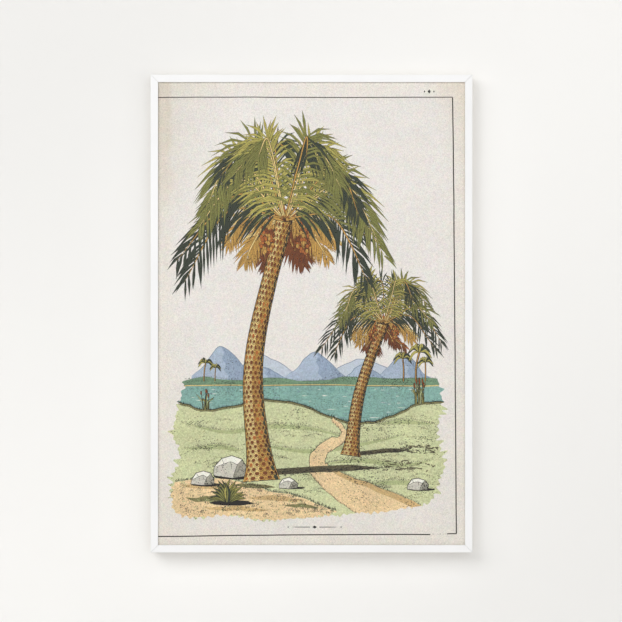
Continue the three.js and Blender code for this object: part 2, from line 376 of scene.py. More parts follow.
@dataclass
class Ground:
    """The washes of the land, from the far hills to the foreground, brushed out at both sides and below."""

    left: tuple[complex, ...] = (
        26 + 44j, 20 + 80j, 30 + 116j, 22 + 150j, 31 + 186j, 38 + 216j, 46 + 250j)
    right: tuple[complex, ...] = (
        348 + 252j, 362 + 214j, 368 + 180j, 360 + 146j, 371 + 112j, 362 + 80j, 352 + 58j)
    below: tuple[complex, ...] = (
        352 + 58j, 300 + 47j, 250 + 43j, 190 + 38j, 140 + 36j, 90 + 42j, 52 + 39j, 26 + 44j)
    reflections: int = 60
    ripples: int = 250
    tussocks: int = 150
    pebbles: int = 190
    tufts: int = 330
    left_edge: Line = field(init=False)
    right_edge: Line = field(init=False)
    low_edge: Line = field(init=False)
    bank: Line = field(init=False)

    def layer(self, plate: Plate, top: Line, tint: Tint) -> None:
        """Lay a wash below a line, out to the brushed edges.

        Args:
            plate: The drawing.
            top: The wash's upper edge, from left to right.
            tint: Its colour.
        """
        past_left = top.real > self.edge_at(self.left_edge, top)
        top = top[past_left & (top.real < self.edge_at(self.right_edge, top))]
        left = self.left_edge[self.left_edge.imag < top[0].imag]
        right = self.right_edge[self.right_edge.imag < top[-1].imag]
        plate.fill(np.concatenate([top, right, self.low_edge, left]), tint)

    @staticmethod
    def edge_at(edge: Line, places: Line) -> np.ndarray:
        """How far across a side edge lies at the height of each place."""
        order = np.argsort(edge.imag)
        return np.interp(places.imag, edge.imag[order], edge.real[order])

    @staticmethod
    def above(line: Line, floor: Line) -> Line:
        """The part of a line that lies above another, which runs from left to right."""
        return line[line.imag > np.interp(line.real, floor.real, floor.imag)]

    def draw(self, plate: Plate) -> None:
        """Lay the whole ground down."""
        self.left_edge, self.right_edge = (plate.ragged(side, 9, 5) for side in (self.left, self.right))
        self.low_edge = plate.ragged(self.below, 4, 6)
        self.draw_hills(plate)
        self.draw_lake(plate)
        self.draw_meadow(plate)
        self.draw_path(plate)
        self.draw_foreground(plate)

    def draw_hills(self, plate: Plate) -> None:
        """Lay the hills down, the far range first."""
        for hill in (
            Hill(88 + 222j, 136 + 247j, 190 + 220j),
            Hill(208 + 220j, 262 + 242j, 322 + 222j),
            Hill(46 + 220j, 84 + 258j, 132 + 216j, strokes=30),
            Hill(282 + 218j, 318 + 249j, 352 + 218j, strokes=24),
            Hill(166 + 218j, 204 + 251j, 250 + 216j, strokes=26),
            Hill(236 + 216j, 266 + 234j, 300 + 216j, strokes=14),
            Hill(112 + 216j, 138 + 231j, 172 + 216j, strokes=14),
        ):
            hill.draw(plate)

    def draw_lake(self, plate: Plate) -> None:
        """Lay down the far shore and the water."""
        rng = plate.rng
        controls = [36 + 216j, 70 + 219j, 100 + 215j, 150 + 217j, 200 + 214j, 250 + 219j, 300 + 216j,
                    360 + 218j]
        shore = curve(controls, 80)
        self.layer(plate, plate.wander(shore, 0.9), Tint.SHORE)
        plate.hatch(shore - 1j, 1.7, 2.8, 80, tint=Tint.LEAF_DARK)
        plate.hatch(shore - 5j, 2.2, 2.2, 70, tint=Tint.LEAF_DARK)
        level = curve([34 + 207j, 100 + 206.5j, 200 + 207.5j, 300 + 206.5j, 362 + 207.5j], 40)
        water = plate.wander(level, 0.4)
        self.layer(plate, water + 1.3j, Tint.OCHRE_LIGHT)
        self.layer(plate, water, Tint.LAKE)
        plate.pen(water, 0.6)
        for _ in range(self.reflections):
            x = rng.uniform(44, 352)
            end = x + rng.normal(0, 0.3) + (206 - rng.uniform(3, 9)) * 1j
            plate.dash(x + 206j, end, 1.1, Tint.LAKE_DEEP)
        for _ in range(self.ripples):
            depth = rng.random() ** 1.3
            start = complex(rng.uniform(40, 344), 205 - 44 * depth)
            end = start + rng.uniform(4, 15) * (0.5 + depth)
            tint = plate.pick(Tint.INK_BLUE, (0.6, Tint.LAKE_DEEP), (0.5, Tint.CHALK))
            plate.dash(start, end, rng.uniform(0.45, 0.8), tint)

    def draw_meadow(self, plate: Plate) -> None:
        """Lay down the near bank and its grass."""
        rng = plate.rng
        controls = [28 + 187j, 60 + 178j, 96 + 181j, 140 + 190j, 186 + 184j, 226 + 168j, 262 + 160j,
                    300 + 168j, 334 + 184j, 366 + 188j]
        self.bank = plate.wander(curve(controls, 120), 0.7)
        self.layer(plate, self.bank, Tint.INK)
        self.layer(plate, self.bank - 1j, Tint.BANK)
        self.layer(plate, self.bank - 3.4j, Tint.MEADOW)
        plate.hatch(self.bank - 1j, 1.1, 3.6, 88)
        plate.hatch(self.bank - 4j, 1.6, 2.6, 80)
        folds = (
            [32 + 160j, 90 + 150j, 140 + 158j, 200 + 154j, 246 + 140j],
            [120 + 134j, 190 + 126j, 250 + 132j, 320 + 144j],
            [36 + 126j, 80 + 132j, 112 + 124j],
            [210 + 106j, 262 + 114j, 318 + 108j, 356 + 112j],
            [282 + 158j, 318 + 164j, 358 + 158j],
            [270 + 82j, 310 + 86j, 350 + 82j],
        )
        for controls in folds:
            line = curve(controls, 50)
            plate.fill(hollow(line, 6), Tint.MEADOW_SHADE)
            plate.hatch(line, 1.5, 3.4, 72)
        for _ in range(self.tussocks):
            x, y = rng.uniform(40, 340), rng.uniform(62, 176)
            if y > np.interp(x, self.bank.real, self.bank.imag) - 8:
                continue
            width = rng.uniform(6, 22) * (1.35 - (y - 62) / 140)
            brow, end = x + width / 2 + (y + width * 0.09) * 1j, min(x + width, 352) + (y - 1) * 1j
            hump = curve([x + y * 1j, brow, end], 8)
            tint = plate.pick(Tint.BANK, (0.6, Tint.INK))
            plate.hatch(hump, 1.25, 2.8, 72 + rng.normal(0, 8), tint=tint)

    def draw_path(self, plate: Plate) -> None:
        """Lay down the path that winds from the foreground to the water."""
        rng = plate.rng
        controls = [346 + 16j, 308 + 40j, 270 + 61j, 232 + 82j, 208 + 104j, 216 + 126j, 240 + 140j,
                    238 + 154j, 226 + 164j]
        spine = curve(controls, 120)
        width = 62 * (1 - np.linspace(0, 1, len(spine))) ** 1.7 + 4
        floor = self.low_edge[::-1]
        sides = [plate.wander(spine + hand * normals(spine) * width / 2, 0.8) for hand in (1, -1)]
        left, right = (self.above(side, floor) for side in sides)
        mouth = floor[(floor.real > left[0].real) & (floor.real < right[0].real)]
        plate.fill([*left, *right[::-1], *mouth[::-1]], Tint.SAND)
        near = right[:-6]
        verge = near + normals(right)[:-6] * np.linspace(8, 1, len(near))
        plate.fill([*near, *self.above(verge, floor)[::-1]], Tint.SAND_SHADE)
        for side, lean in ((left, 100), (right, 76)):
            plate.pen(side, 0.5)
            plate.hatch(side, 1.3, 3.0, lean, 0.55)
        for _ in range(self.pebbles):
            place = 0.1 + 0.9 * rng.random() ** 1.6
            start = at_share(spine, place) + at_share(width, place) * rng.uniform(-0.4, 0.4)
            if start.imag < np.interp(start.real, floor.real, floor.imag) + 2:
                continue
            end = start + rng.uniform(1.5, 6) * (1.2 - place) * cmath.exp(1j * rng.normal(2.6, 0.1))
            weight = rng.uniform(0.4, 0.8)
            plate.dash(start, end, weight, plate.pick(Tint.INK_SOFT, (0.5, Tint.SAND_SHADE)))

    def draw_foreground(self, plate: Plate) -> None:
        """Lay down the sandy foreground at the lower left."""
        rng = plate.rng
        top = plate.wander(curve([24 + 84j, 60 + 88j, 104 + 84j, 150 + 72j, 196 + 60j, 232 + 46j], 60), 0.8)
        controls = [232 + 45j, 190 + 38j, 140 + 36j, 90 + 42j, 52 + 39j, 26 + 44j, 22 + 64j, 24 + 84j]
        edge = plate.ragged(controls, 4, 6)
        plate.fill([*top, *edge], Tint.SAND)
        patches = (  # where each begins, across and up, its length and its depth
            (32, 80, 74, 7),
            (98, 80, 56, 6),
            (38, 63, 60, 7),
            (118, 64, 74, 7),
            (62, 51, 84, 6),
            (164, 54, 46, 5),
        )
        for x, y, reach, depth in patches:
            controls = [complex(x, y), complex(x + reach * 0.5, y + 2), complex(x + reach, y - 3)]
            crest = plate.wander(curve(controls, 30), 0.5)
            plate.fill(hollow(crest, depth, 0.8), Tint.BANK if reach < 70 else Tint.SAND_SHADE)
        for _ in range(self.tufts):
            share = rng.uniform(0.03, 0.97)
            crest = at_share(top, share)
            floor = 40 + 3 * math.sin(share * 9)
            start = crest.real + 1j * (floor + (crest.imag - floor) * rng.random())
            tint = plate.pick(Tint.LEAF_DARK, (0.55, Tint.INK), (0.5, Tint.MEADOW_SHADE))
            plate.hatch(np.array([start, start + 4.5]), 1.5, 3.4, 78, 0.55, tint)
        plate.hatch(top, 0.9, 4.4, 84, 0.6)


class FrondKind(Enum):
    """A frond's tints: of the leaflets in shade, of those in the light, and of the rib."""

    FAR = (Tint.LEAF_DARK, Tint.LEAF_DARK, Tint.OCHRE)
    SHADED = (Tint.LEAF_DARK, Tint.LEAF, Tint.OCHRE)
    LIT = (Tint.LEAF, Tint.LEAF_LIGHT, Tint.OCHRE_LIGHT)
    DRY = (Tint.OCHRE, Tint.OCHRE_LIGHT, Tint.OCHRE_LIGHT)
    DEAD = (Tint.CHESTNUT, Tint.RUST, Tint.OCHRE)


@dataclass
class Palm:
    """A date palm, with its leaf scars, dry skirt, fruit and arching fronds."""

    # where a leaf scar's corners are, across and up, the lower edge first
    SCAR = ((-0.48, 0.1), (-0.3, -0.32), (0, -0.5), (0.3, -0.32), (0.48, 0.1), (0.26, 0.46), (-0.26, 0.46))

    foot: complex
    bend: complex
    crown: complex
    foot_width: float
    top_width: float
    reach: float
    fronds: int
    leaflets: int
    scars: int  # rows of them
    columns: int = 6  # of leaf scars on the side in view
    weight: float = 0.55  # of the line round a leaflet
    unsure: float = 4.0  # spread of a frond's direction in degrees
    dates: int = 56

    def half_width(self, share: float) -> float:
        """Half the trunk's width at a share of its height."""
        flare = math.exp(-share * 16) * 0.55 + math.exp(-(((1 - share) * 9) ** 2)) * 0.35
        return (self.foot_width * (1 - share) + self.top_width * share) / 2 * (1 + flare)

    def draw(self, plate: Plate) -> None:
        """Lay the palm down, from its dry skirt to its nearest fronds."""
        rng = plate.rng
        for angle in (-166, 164, -150, 148, -134, 133, -116, 118):
            length = self.reach * rng.uniform(0.5, 0.66)
            kind = FrondKind.DRY if abs(angle) < 140 else FrondKind.DEAD
            self.draw_frond(plate, angle + rng.normal(0, self.unsure), length, kind, 0.1)
        far = self.fronds // 2
        for k in range(far):
            angle = -94 + 188 * (k + 0.5) / far + rng.normal(0, self.unsure)
            self.draw_frond(plate, angle, self.reach * rng.uniform(0.72, 0.9), FrondKind.FAR, 0.35)
        self.draw_trunk(plate)
        for side in (-1, 1):
            self.draw_dates(plate, side)
        self.draw_heart(plate)
        order = sorted(range(self.fronds), key=lambda k: -abs(k - (self.fronds - 1) / 2))
        for k in order:
            angle = -114 + 228 * (k + 0.5) / self.fronds + rng.normal(0, self.unsure)
            angle += 10 * math.copysign(math.exp(-abs(angle) / 30), angle)
            kind = FrondKind.SHADED if abs(angle) > 92 or k % 3 == 1 else FrondKind.LIT
            length = self.reach * rng.uniform(0.88, 1.08)
            self.draw_frond(plate, angle, length, kind, rng.uniform(0.42, 0.54))

    def draw_trunk(self, plate: Plate) -> None:
        """Lay the trunk down, with its rows of leaf scars from the foot up."""
        rng = plate.rng
        line = curve([self.foot, self.bend, self.crown], 60)
        left = normals(line)
        half = np.array([self.half_width(share) for share in np.linspace(0, 1, len(line))])
        plate.outlined([*(line + left * half), *(line - left * half)[::-1]], Tint.OCHRE, 0.8)
        plate.fill([*(line + left * 0.85 * half), *(line + left * 0.1 * half)[::-1]], Tint.OCHRE_LIGHT)
        step = math.pi / self.columns
        for row in range(self.scars):
            for column in range(self.columns + 1):
                middle = (column - self.columns / 2 + (0.5 if row % 2 else 0)) * step
                if abs(middle) > math.radians(86):
                    continue
                cell = []
                for across, up in self.SCAR:
                    turn = min(math.pi / 2, max(-math.pi / 2, middle + across * step))
                    share = min(1, max(0, (row + 0.5 + 1.25 * up) / self.scars))
                    out = at_share(left, share) * math.sin(turn) * self.half_width(share) * 0.97
                    cell.append(at_share(line, share) - out)
                self.draw_scar(plate, np.array(cell), math.cos(middle + math.radians(42)))
        for _ in range(self.scars * 5):
            share = rng.random() ** 0.9
            out = at_share(left, share) * rng.uniform(0.45, 0.98) * self.half_width(share)
            start = at_share(line, share) - out
            plate.dash(start, start + rng.uniform(1.2, 3.2) * cmath.exp(1j * rng.normal(-0.5, 0.25)), 0.55)

    def draw_scar(self, plate: Plate, cell: Line, light: float) -> None:
        """Lay down one leaf scar.

        Args:
            plate: The drawing.
            cell: Its outline, the lower edge first.
            light: How far it is turned to the light, from -1 to 1.
        """
        rng = plate.rng
        centre = cell.mean()
        brown = Tint.CHESTNUT if light > 0.25 else Tint.CHESTNUT_DARK
        if light < -0.05:
            brown = plate.pick(brown, (0.4, Tint.LEAF_DARK))
            plate.fill(centre + (cell - centre) * 0.93, brown)
        else:
            brown = plate.pick(brown, (0.12, Tint.RUST))
            plate.fill(centre + (cell - centre) * rng.uniform(0.58, 0.76) + rng.normal(0, 0.12), brown)
        plate.pen(cell[:5], self.weight * (1.0 if light > 0 else 1.4), Tint.INK, 0.6, 0.6)

    def draw_heart(self, plate: Plate) -> None:
        """Lay down the knot of leaf bases that the fronds grow from."""
        size = self.top_width
        knot = plate.blob(self.crown + 0.1j * size, size * 1.25, size * 0.95, 14)
        plate.outlined(knot, Tint.CHESTNUT_DARK, 0.8)
        for angle in range(-75, 76, 15):
            way = cmath.exp(1j * math.radians(90 - angle + plate.rng.normal(0, 4)))
            base = self.crown - 0.25j * size + way * size * 0.1
            line = curve([base, base + way * size * 0.45, base + way * size * 0.95], 5)
            leaf = stroke(line, size * 0.24, 1.0, 0.2)
            plate.outlined(leaf, Tint.OCHRE if angle % 30 else Tint.RUST, 0.45)

    def draw_frond(self, plate: Plate, angle: float, length: float, kind: FrondKind, droop: float) -> None:
        """Lay down one arching frond.

        Args:
            plate: The drawing.
            angle: Its direction in degrees from upright, clockwise.
            length: Its length.
            kind: How it is coloured.
            droop: How far its tip hangs, as a share of its length.
        """
        rng = plate.rng
        dark, lit, rib = kind.value
        out, up = math.sin(math.radians(angle)), math.cos(math.radians(angle))
        start = self.crown + complex(out * self.top_width * 0.35, up * 2)
        fall = up * 0.82 - droop * (0.25 + 0.75 * abs(out))
        rise = up * 0.62 + (0.16 + 0.1 * abs(out)) * (1 - droop * 0.4)
        sway = rng.normal(0, 0.05)
        tip = start + length * complex(out * (0.92 + 0.06 * abs(out)) + sway, fall)
        middle = start + length * complex(out * 0.5 - sway, rise)
        spine = plate.wander(curve([start, middle, tip], 30), 0.3)
        along = np.gradient(spine)
        along /= abs(along)
        for hand in (1, -1):
            for k in range(self.leaflets):
                t = 0.1 + 0.9 * (k + rng.uniform(-0.2, 0.2)) / self.leaflets
                place = min(len(spine) - 1, max(0, int(t * (len(spine) - 1))))
                reach = length * 0.34 * math.sin(math.pi * (0.14 + 0.78 * t)) ** 0.7 * rng.uniform(0.86, 1.1)
                way = along[place] * cmath.exp(1j * hand * math.radians(62 - 38 * t + rng.normal(0, 5)))
                sag = 1j * reach * (0.22 + 0.25 * abs(way.real))
                root = spine[place]
                knee, end = root + way * reach * 0.5 - sag * 0.22, root + way * reach - sag
                width = self.reach * 0.022 * rng.uniform(0.85, 1.15)
                if kind is not FrondKind.FAR:
                    edge = self.leaflet(root, knee, end + way * 0.4, width + 1.24 * self.weight)
                    plate.fill(edge, Tint.INK)
                turned_up = (way * reach).imag > -0.15 * reach
                plate.fill(self.leaflet(root, knee, end, width), lit if turned_up else dark)
        plate.pen(spine, 1.5 * self.weight + self.reach * 0.012, Tint.INK, 1.0)
        plate.pen(spine, self.reach * 0.011, rib, 1.0)

    @staticmethod
    def leaflet(root: complex, knee: complex, end: complex, width: float) -> Line:
        """Outline a narrow leaflet that bends at its knee.

        Args:
            root: Where it grows from the rib.
            knee: Its widest place.
            end: Its point.
            width: Its width.

        Returns:
            The outline.
        """
        first = 1j * (knee - root) / max(abs(knee - root), 1e-6) * width
        second = 1j * (end - root) / max(abs(end - root), 1e-6) * width
        upper, lower = knee + second * 0.55, knee - second * 0.45
        return np.array([root + first * 0.25, upper, end, lower, root - first * 0.25])

    def draw_dates(self, plate: Plate, side: int) -> None:
        """Lay down a hanging bunch of dates.

        Args:
            plate: The drawing.
            side: -1 for the left of the trunk, 1 for the right.
        """
        rng = plate.rng
        reach = self.reach
        brow = complex(side * reach * 0.13, reach * 0.03)
        bends = (side * self.top_width * 0.3, brow, complex(side * reach * 0.18, -reach * 0.14))
        stem = curve([self.crown + bend for bend in bends], 8)
        plate.pen(stem, reach * 0.018, Tint.INK, 1.0, 1.0)
        plate.pen(stem, reach * 0.010, Tint.RUST, 1.0, 1.0)
        size = reach * 0.03
        for _ in range(self.dates):
            around, out = rng.uniform(0, 2 * math.pi), math.sqrt(rng.random())
            across, down = math.cos(around) * out * 0.072, math.sin(around) * out * 0.14 - 0.08
            tint = (Tint.RUST, Tint.RUST, Tint.CHESTNUT, Tint.OCHRE)[rng.integers(4)]
            date = plate.blob(stem[-1] + reach * complex(across, down), size, size * 1.35, 6, 0.05)
            plate.outlined(date, tint, 0.4)


@dataclass
class DistantPalm:
    """A small palm on the far shore."""

    foot: complex
    height: float

    def draw(self, plate: Plate) -> None:
        """Lay the palm down."""
        top = self.foot + self.height * complex(plate.rng.uniform(-0.12, 0.12), 1)
        trunk = curve([self.foot, self.foot + self.height * 0.5j + 0.3, top], 6)
        plate.pen(trunk, self.height * 0.075, Tint.INK, 1, 1)
        plate.pen(trunk - 0.2, self.height * 0.03, Tint.OCHRE, 1, 1)
        for angle in (-112, 108, -84, 82, -58, 60, -34, 36, -12, 14):
            turn = math.radians(angle + plate.rng.normal(0, 6))
            middle = top + complex(math.sin(turn) * 0.55, math.cos(turn) * 0.5 + 0.14) * self.height * 0.4
            tip = top + complex(math.sin(turn), math.cos(turn) * 0.75 - 0.42) * self.height * 0.42
            plate.outlined(stroke(curve([top, middle, tip], 6), self.height * 0.075, 0.4),
                           Tint.LEAF_LIGHT if angle % 3 else Tint.LEAF_DARK, 0.3)


@dataclass
class Boulder:
    """A pale broken rock with flat facets, and its shadow on the ground."""

    # shares of the width and the height
    LOW = ((-0.5, 0.06), (0.06, -0.02), (0.48, 0.05))
    SIDES = ((-0.47, 0.42), (0.5, 0.44))
    TOP = ((-0.27, 0.84), (0.04, 1.0), (0.33, 0.8))
    FACE = ((-0.2, 0.6), (0.2, 0.58), (0.02, 0.7))

    foot: complex
    width: float
    height: float

    def corners(self, plate: Plate, shares: Sequence[Pair]) -> list[complex]:
        """Set out corners, each a little out of its place.

        Args:
            plate: The drawing.
            shares: Where each corner is, as shares of the width and the height.

        Returns:
            The corners.
        """
        places = []
        for across, up in shares:
            shift, lift = plate.rng.normal(0, 0.015 * self.width), plate.rng.normal(0, 0.02)
            places.append(self.foot + complex(across * self.width + shift, (up + lift) * self.height))
        return places

    @staticmethod
    def shade(plate: Plate, corners: Points, way: complex, width: float, count: int) -> None:
        """Set parallel touches of the pen all over a facet.

        Args:
            plate: The drawing.
            corners: The facet's upper left, upper right, lower left and lower right corners.
            way: How each touch goes.
            width: Its width.
            count: How many there are.
        """
        high_left, high_right, low_left, low_right = corners
        for _ in range(count):
            across, down = plate.rng.random(), plate.rng.random()
            high = high_left * (1 - across) + high_right * across
            low = low_left * (1 - across) + low_right * across
            start = high * (1 - down) + low * down
            plate.dash(start, start + way, width)

    def draw(self, plate: Plate) -> None:
        """Lay the rock down."""
        width, height = self.width, self.height
        middle = self.foot + complex(width * 0.22, height * 0.02)
        plate.fill(plate.blob(middle, width * 1.35, height * 0.26, 16, 0.08), Tint.INK)
        low_left, low_mid, low_right = self.corners(plate, self.LOW)
        left, right = self.corners(plate, self.SIDES)
        top_left, top, top_right = self.corners(plate, self.TOP)
        brow, cheek, heart = self.corners(plate, self.FACE)
        outline = [low_left, low_mid, low_right, right, top_right, top, top_left, left]
        plate.outlined(outline, Tint.CHALK_SHADE, 0.9)
        plate.fill([left, brow, heart, cheek, top_right, top, top_left], Tint.CHALK)
        plate.fill([cheek, low_mid, low_right, right, top_right], Tint.STONE)
        crack = (heart, 0.5 * (heart + low_mid))
        for line in ((left, brow, heart, cheek, top_right), (brow, top_left), (cheek, low_mid), crack):
            plate.pen(curve(line, 3 * len(line)), 0.55, Tint.INK, 0.7)
        self.shade(plate, (cheek, right, low_mid, low_right), 1.6 - 2.4j, 0.5, int(width * 1.3))
        self.shade(plate, (left, brow, low_left, low_mid), 1.1 - 1.8j, 0.4, int(width * 0.5))


@dataclass
class Agave:
    """A rosette of stiff pointed leaves."""

    foot: complex
    reach: float

    def draw(self, plate: Plate) -> None:
        """Lay the leaves down, the outer ones first."""
        rng, reach, foot = plate.rng, self.reach, self.foot
        plate.fill(plate.blob(foot + complex(reach * 0.15, -1), reach * 1.9, reach * 0.22, 16), Tint.INK)
        for k, angle in enumerate((172, 8, 160, 20, 148, 32, 136, 44, 124, 56, 112, 68, 101, 79, 91)):
            turn = math.radians(angle + rng.normal(0, 3))
            length = reach * rng.uniform(0.85, 1.05) * (0.8 + 0.2 * math.sin(turn))
            tip = foot + cmath.rect(length, turn)
            knee = foot + cmath.rect(length * 0.5, turn + (0.22 if math.cos(turn) > 0 else -0.22))
            side = 1j * (tip - foot) / abs(tip - foot) * reach * 0.078
            lines = (curve([foot + hand * side * 0.6, knee + hand * side, tip], 8) for hand in (1, 0, -1))
            left, middle, right = lines
            plate.outlined([*left, *right[-2::-1]], Tint.LEAF if k % 2 else Tint.LEAF_DARK, 0.6)
            plate.fill([*left, *middle[-2::-1]], Tint.LEAF_LIGHT if k % 2 else Tint.LEAF)
            plate.pen(middle, 0.5, Tint.INK, 0.3)


@dataclass
class Reeds:
    """A clump of reed mace at the water's edge."""

    foot: complex
    count: int
    height: float

    def draw(self, plate: Plate) -> None:
        """Lay the clump down, its leaves behind its heads."""
        rng, height = plate.rng, self.height
        for k in range(self.count * 2):
            side = 1 if k % 2 else -1
            foot = self.foot + rng.normal(0, height * 0.1)
            tip = foot + complex(side * height * rng.uniform(0.08, 0.36), height * rng.uniform(0.5, 0.9))
            line = curve([foot, foot + complex(side * height * 0.03, height * 0.4), tip], 7)
            leaf = stroke(line, height * 0.05, 1.0)
            plate.outlined(leaf, (Tint.LEAF, Tint.LEAF_LIGHT, Tint.MEADOW_SHADE)[k % 3], 0.35)
        for k in range(self.count):
            foot = self.foot + height * 0.36 * ((k + 0.5) / self.count - 0.5)
            top = foot + complex(rng.normal(0, height * 0.05), height * rng.uniform(0.72, 1.0))
            plate.pen(curve([foot, 0.5 * (foot + top) + rng.normal(0, 0.5), top], 6), 0.9, Tint.INK, 1.0, 1.0)
            head = plate.blob(top, height * 0.055, height * 0.22, 10, 0.04)
            plate.outlined(head, Tint.CHESTNUT, 0.45)
            plate.dash(top + complex(-0.5, height * 0.08), top - complex(0.5, height * 0.08), 0.6, Tint.RUST)


@dataclass
class CastShadow:
    """The shadow of a palm on the grass: a stippled bar that breaks up into leaf strokes."""

    start: complex
    end: complex
    width: float
    leaves: int = 46

    def draw(self, plate: Plate) -> None:
        """Lay the shadow down."""
        rng = plate.rng
        reach = self.end - self.start
        bar = curve([self.start, self.start + 0.4 * reach + 1.5j, self.start + 0.8 * reach], 24)
        plate.fill(stroke(plate.wander(bar, 0.35), self.width, 1.0, 0.1), Tint.SHADOW)
        for _ in range(int(abs(reach) * 2.4)):
            share = rng.random()
            spread = self.width * (0.34 - 0.15 * share)
            at = self.start + reach * share * 0.86 + complex(0, rng.normal(0, spread))
            plate.dash(at, at + complex(rng.uniform(2, 4.5), rng.normal(0, 0.5)), 0.6)
        for _ in range(self.leaves):
            out = cmath.rect(rng.uniform(0.1, 1) ** 0.6, rng.uniform(0, 2 * math.pi))
            at = self.end + complex(out.real * self.width * 4.4, out.imag * self.width * 0.95)
            tip = at + complex(rng.normal(0, 6), rng.normal(0, 1.6))
            plate.fill(stroke(curve([at, 0.5 * (at + tip) + 0.7j, tip], 4), 1.5, 0.3), Tint.SHADOW)


@dataclass
class Border:
    """The ruled line round the plate, which runs out of sight on the left, and the ornament below."""

    top: float = 577.3
    right: float = 385.9
    lean: float = 4.9  # how far the upright line leans to the left on its way up
    foot: float = 17.0
    ornament: complex = 204 + 26j
    finial: complex = 351 + 585j

    def draw(self, plate: Plate) -> None:
        """Lay the line and the ornament down."""
        corner, base = complex(self.right, self.top), complex(self.right, self.foot + 0.4)
        top = [1j * self.top, corner - 290 + 0.4j, corner - 140 + 0.1j, corner - self.lean + 0.3j]
        side = [corner - self.lean, corner - 3.4 - 130j, corner - 2.4 - 250j, corner - 1.3 - 400j, base]
        below = [1j * self.foot - 3.1j, base - 250 - 1.8j, base - 120 - 1.0j, base - 33.5 - 0.8j]
        stub = [base - 12, base - 6 + 0.1j, base]
        for controls, count, width in ((top, 50, 1.15), (side, 60, 1.5), (below, 40, 1.45), (stub, 6, 1.4)):
            shaky = plate.wander(curve(controls, count), 0.1)
            plate.pen(shaky, width, Tint.INK_SOFT, 1.0, 1.0)
            plate.pen(shaky, width - 0.35, Tint.INK, 1.0, 1.0)
        for gap, length in ((31, 2.6), (24.5, 1.1), (21.5, 1.6), (17.5, 1.0), (15, 1.4)):
            plate.dash(base - gap - 0.3j, base - gap + length - 0.3j, 0.8, Tint.INK_SOFT)
        plate.fill([self.ornament + way for way in (-3, -1.9j, 3, 1.9j)], Tint.INK)
        for hand in (-1, 1):
            plate.pen(self.ornament + hand * curve([6, 16, 30], 6), 0.9, Tint.INK, 1.0)
            plate.fill([self.ornament + hand * 34 + way for way in (-1.2, -0.8j, 1.2, 0.8j)], Tint.INK)
        for place, size in ((self.finial, 2.0), (self.finial - 6, 1.0), (self.finial + 6, 1.0)):
            plate.fill([place + size * way for way in (-1, -1.4j, 1, 1.4j)], Tint.INK)


def landscape() -> Plate:
    """Draw the whole plate: palms by a lake."""
    plate = Plate()
    motifs = (
        Ground(),
        DistantPalm(318 + 213j, 30),
        DistantPalm(334 + 213j, 38),
        DistantPalm(346 + 213j, 25),
        DistantPalm(62 + 213j, 24),
        DistantPalm(76 + 213j, 18),
        Reeds(338 + 184j, 6, 32),
        Reeds(64 + 177j, 4, 24),
        CastShadow(146 + 96j, 322 + 104j, 8),
        CastShadow(258 + 120j, 340 + 126j, 5.5),
        Palm(foot=250 + 118j, bend=262 + 200j, crown=293 + 290j, foot_width=17, top_width=10, reach=74,
             fronds=12, leaflets=19, scars=34),
        Boulder(96 + 90j, 44, 28),
        Palm(foot=136 + 86j, bend=126 + 240j, crown=166 + 424j, foot_width=31, top_width=15, reach=132,
             fronds=14, leaflets=27, scars=52),
        Boulder(60 + 80j, 30, 18),
        Boulder(170 + 76j, 24, 13),
        Agave(92 + 58j, 30),
        Boulder(336 + 74j, 26, 15),
        Border(),
    )
    for motif in motifs:
        motif.draw(plate)
    return plate


# ---- From overlapping shapes to one sheet ----

@dataclass
class Cells:
    """The sheet cut where shapes cross: its corners, its triangles, and the shape on top in each."""

    corners: Line
    triangles: np.ndarray
    tops: np.ndarray


@dataclass
class Borders:
    """The edges between two colours, with the colour on the left of each way along each edge."""

    corners: Line
    left_of: dict[tuple[int, int], int]


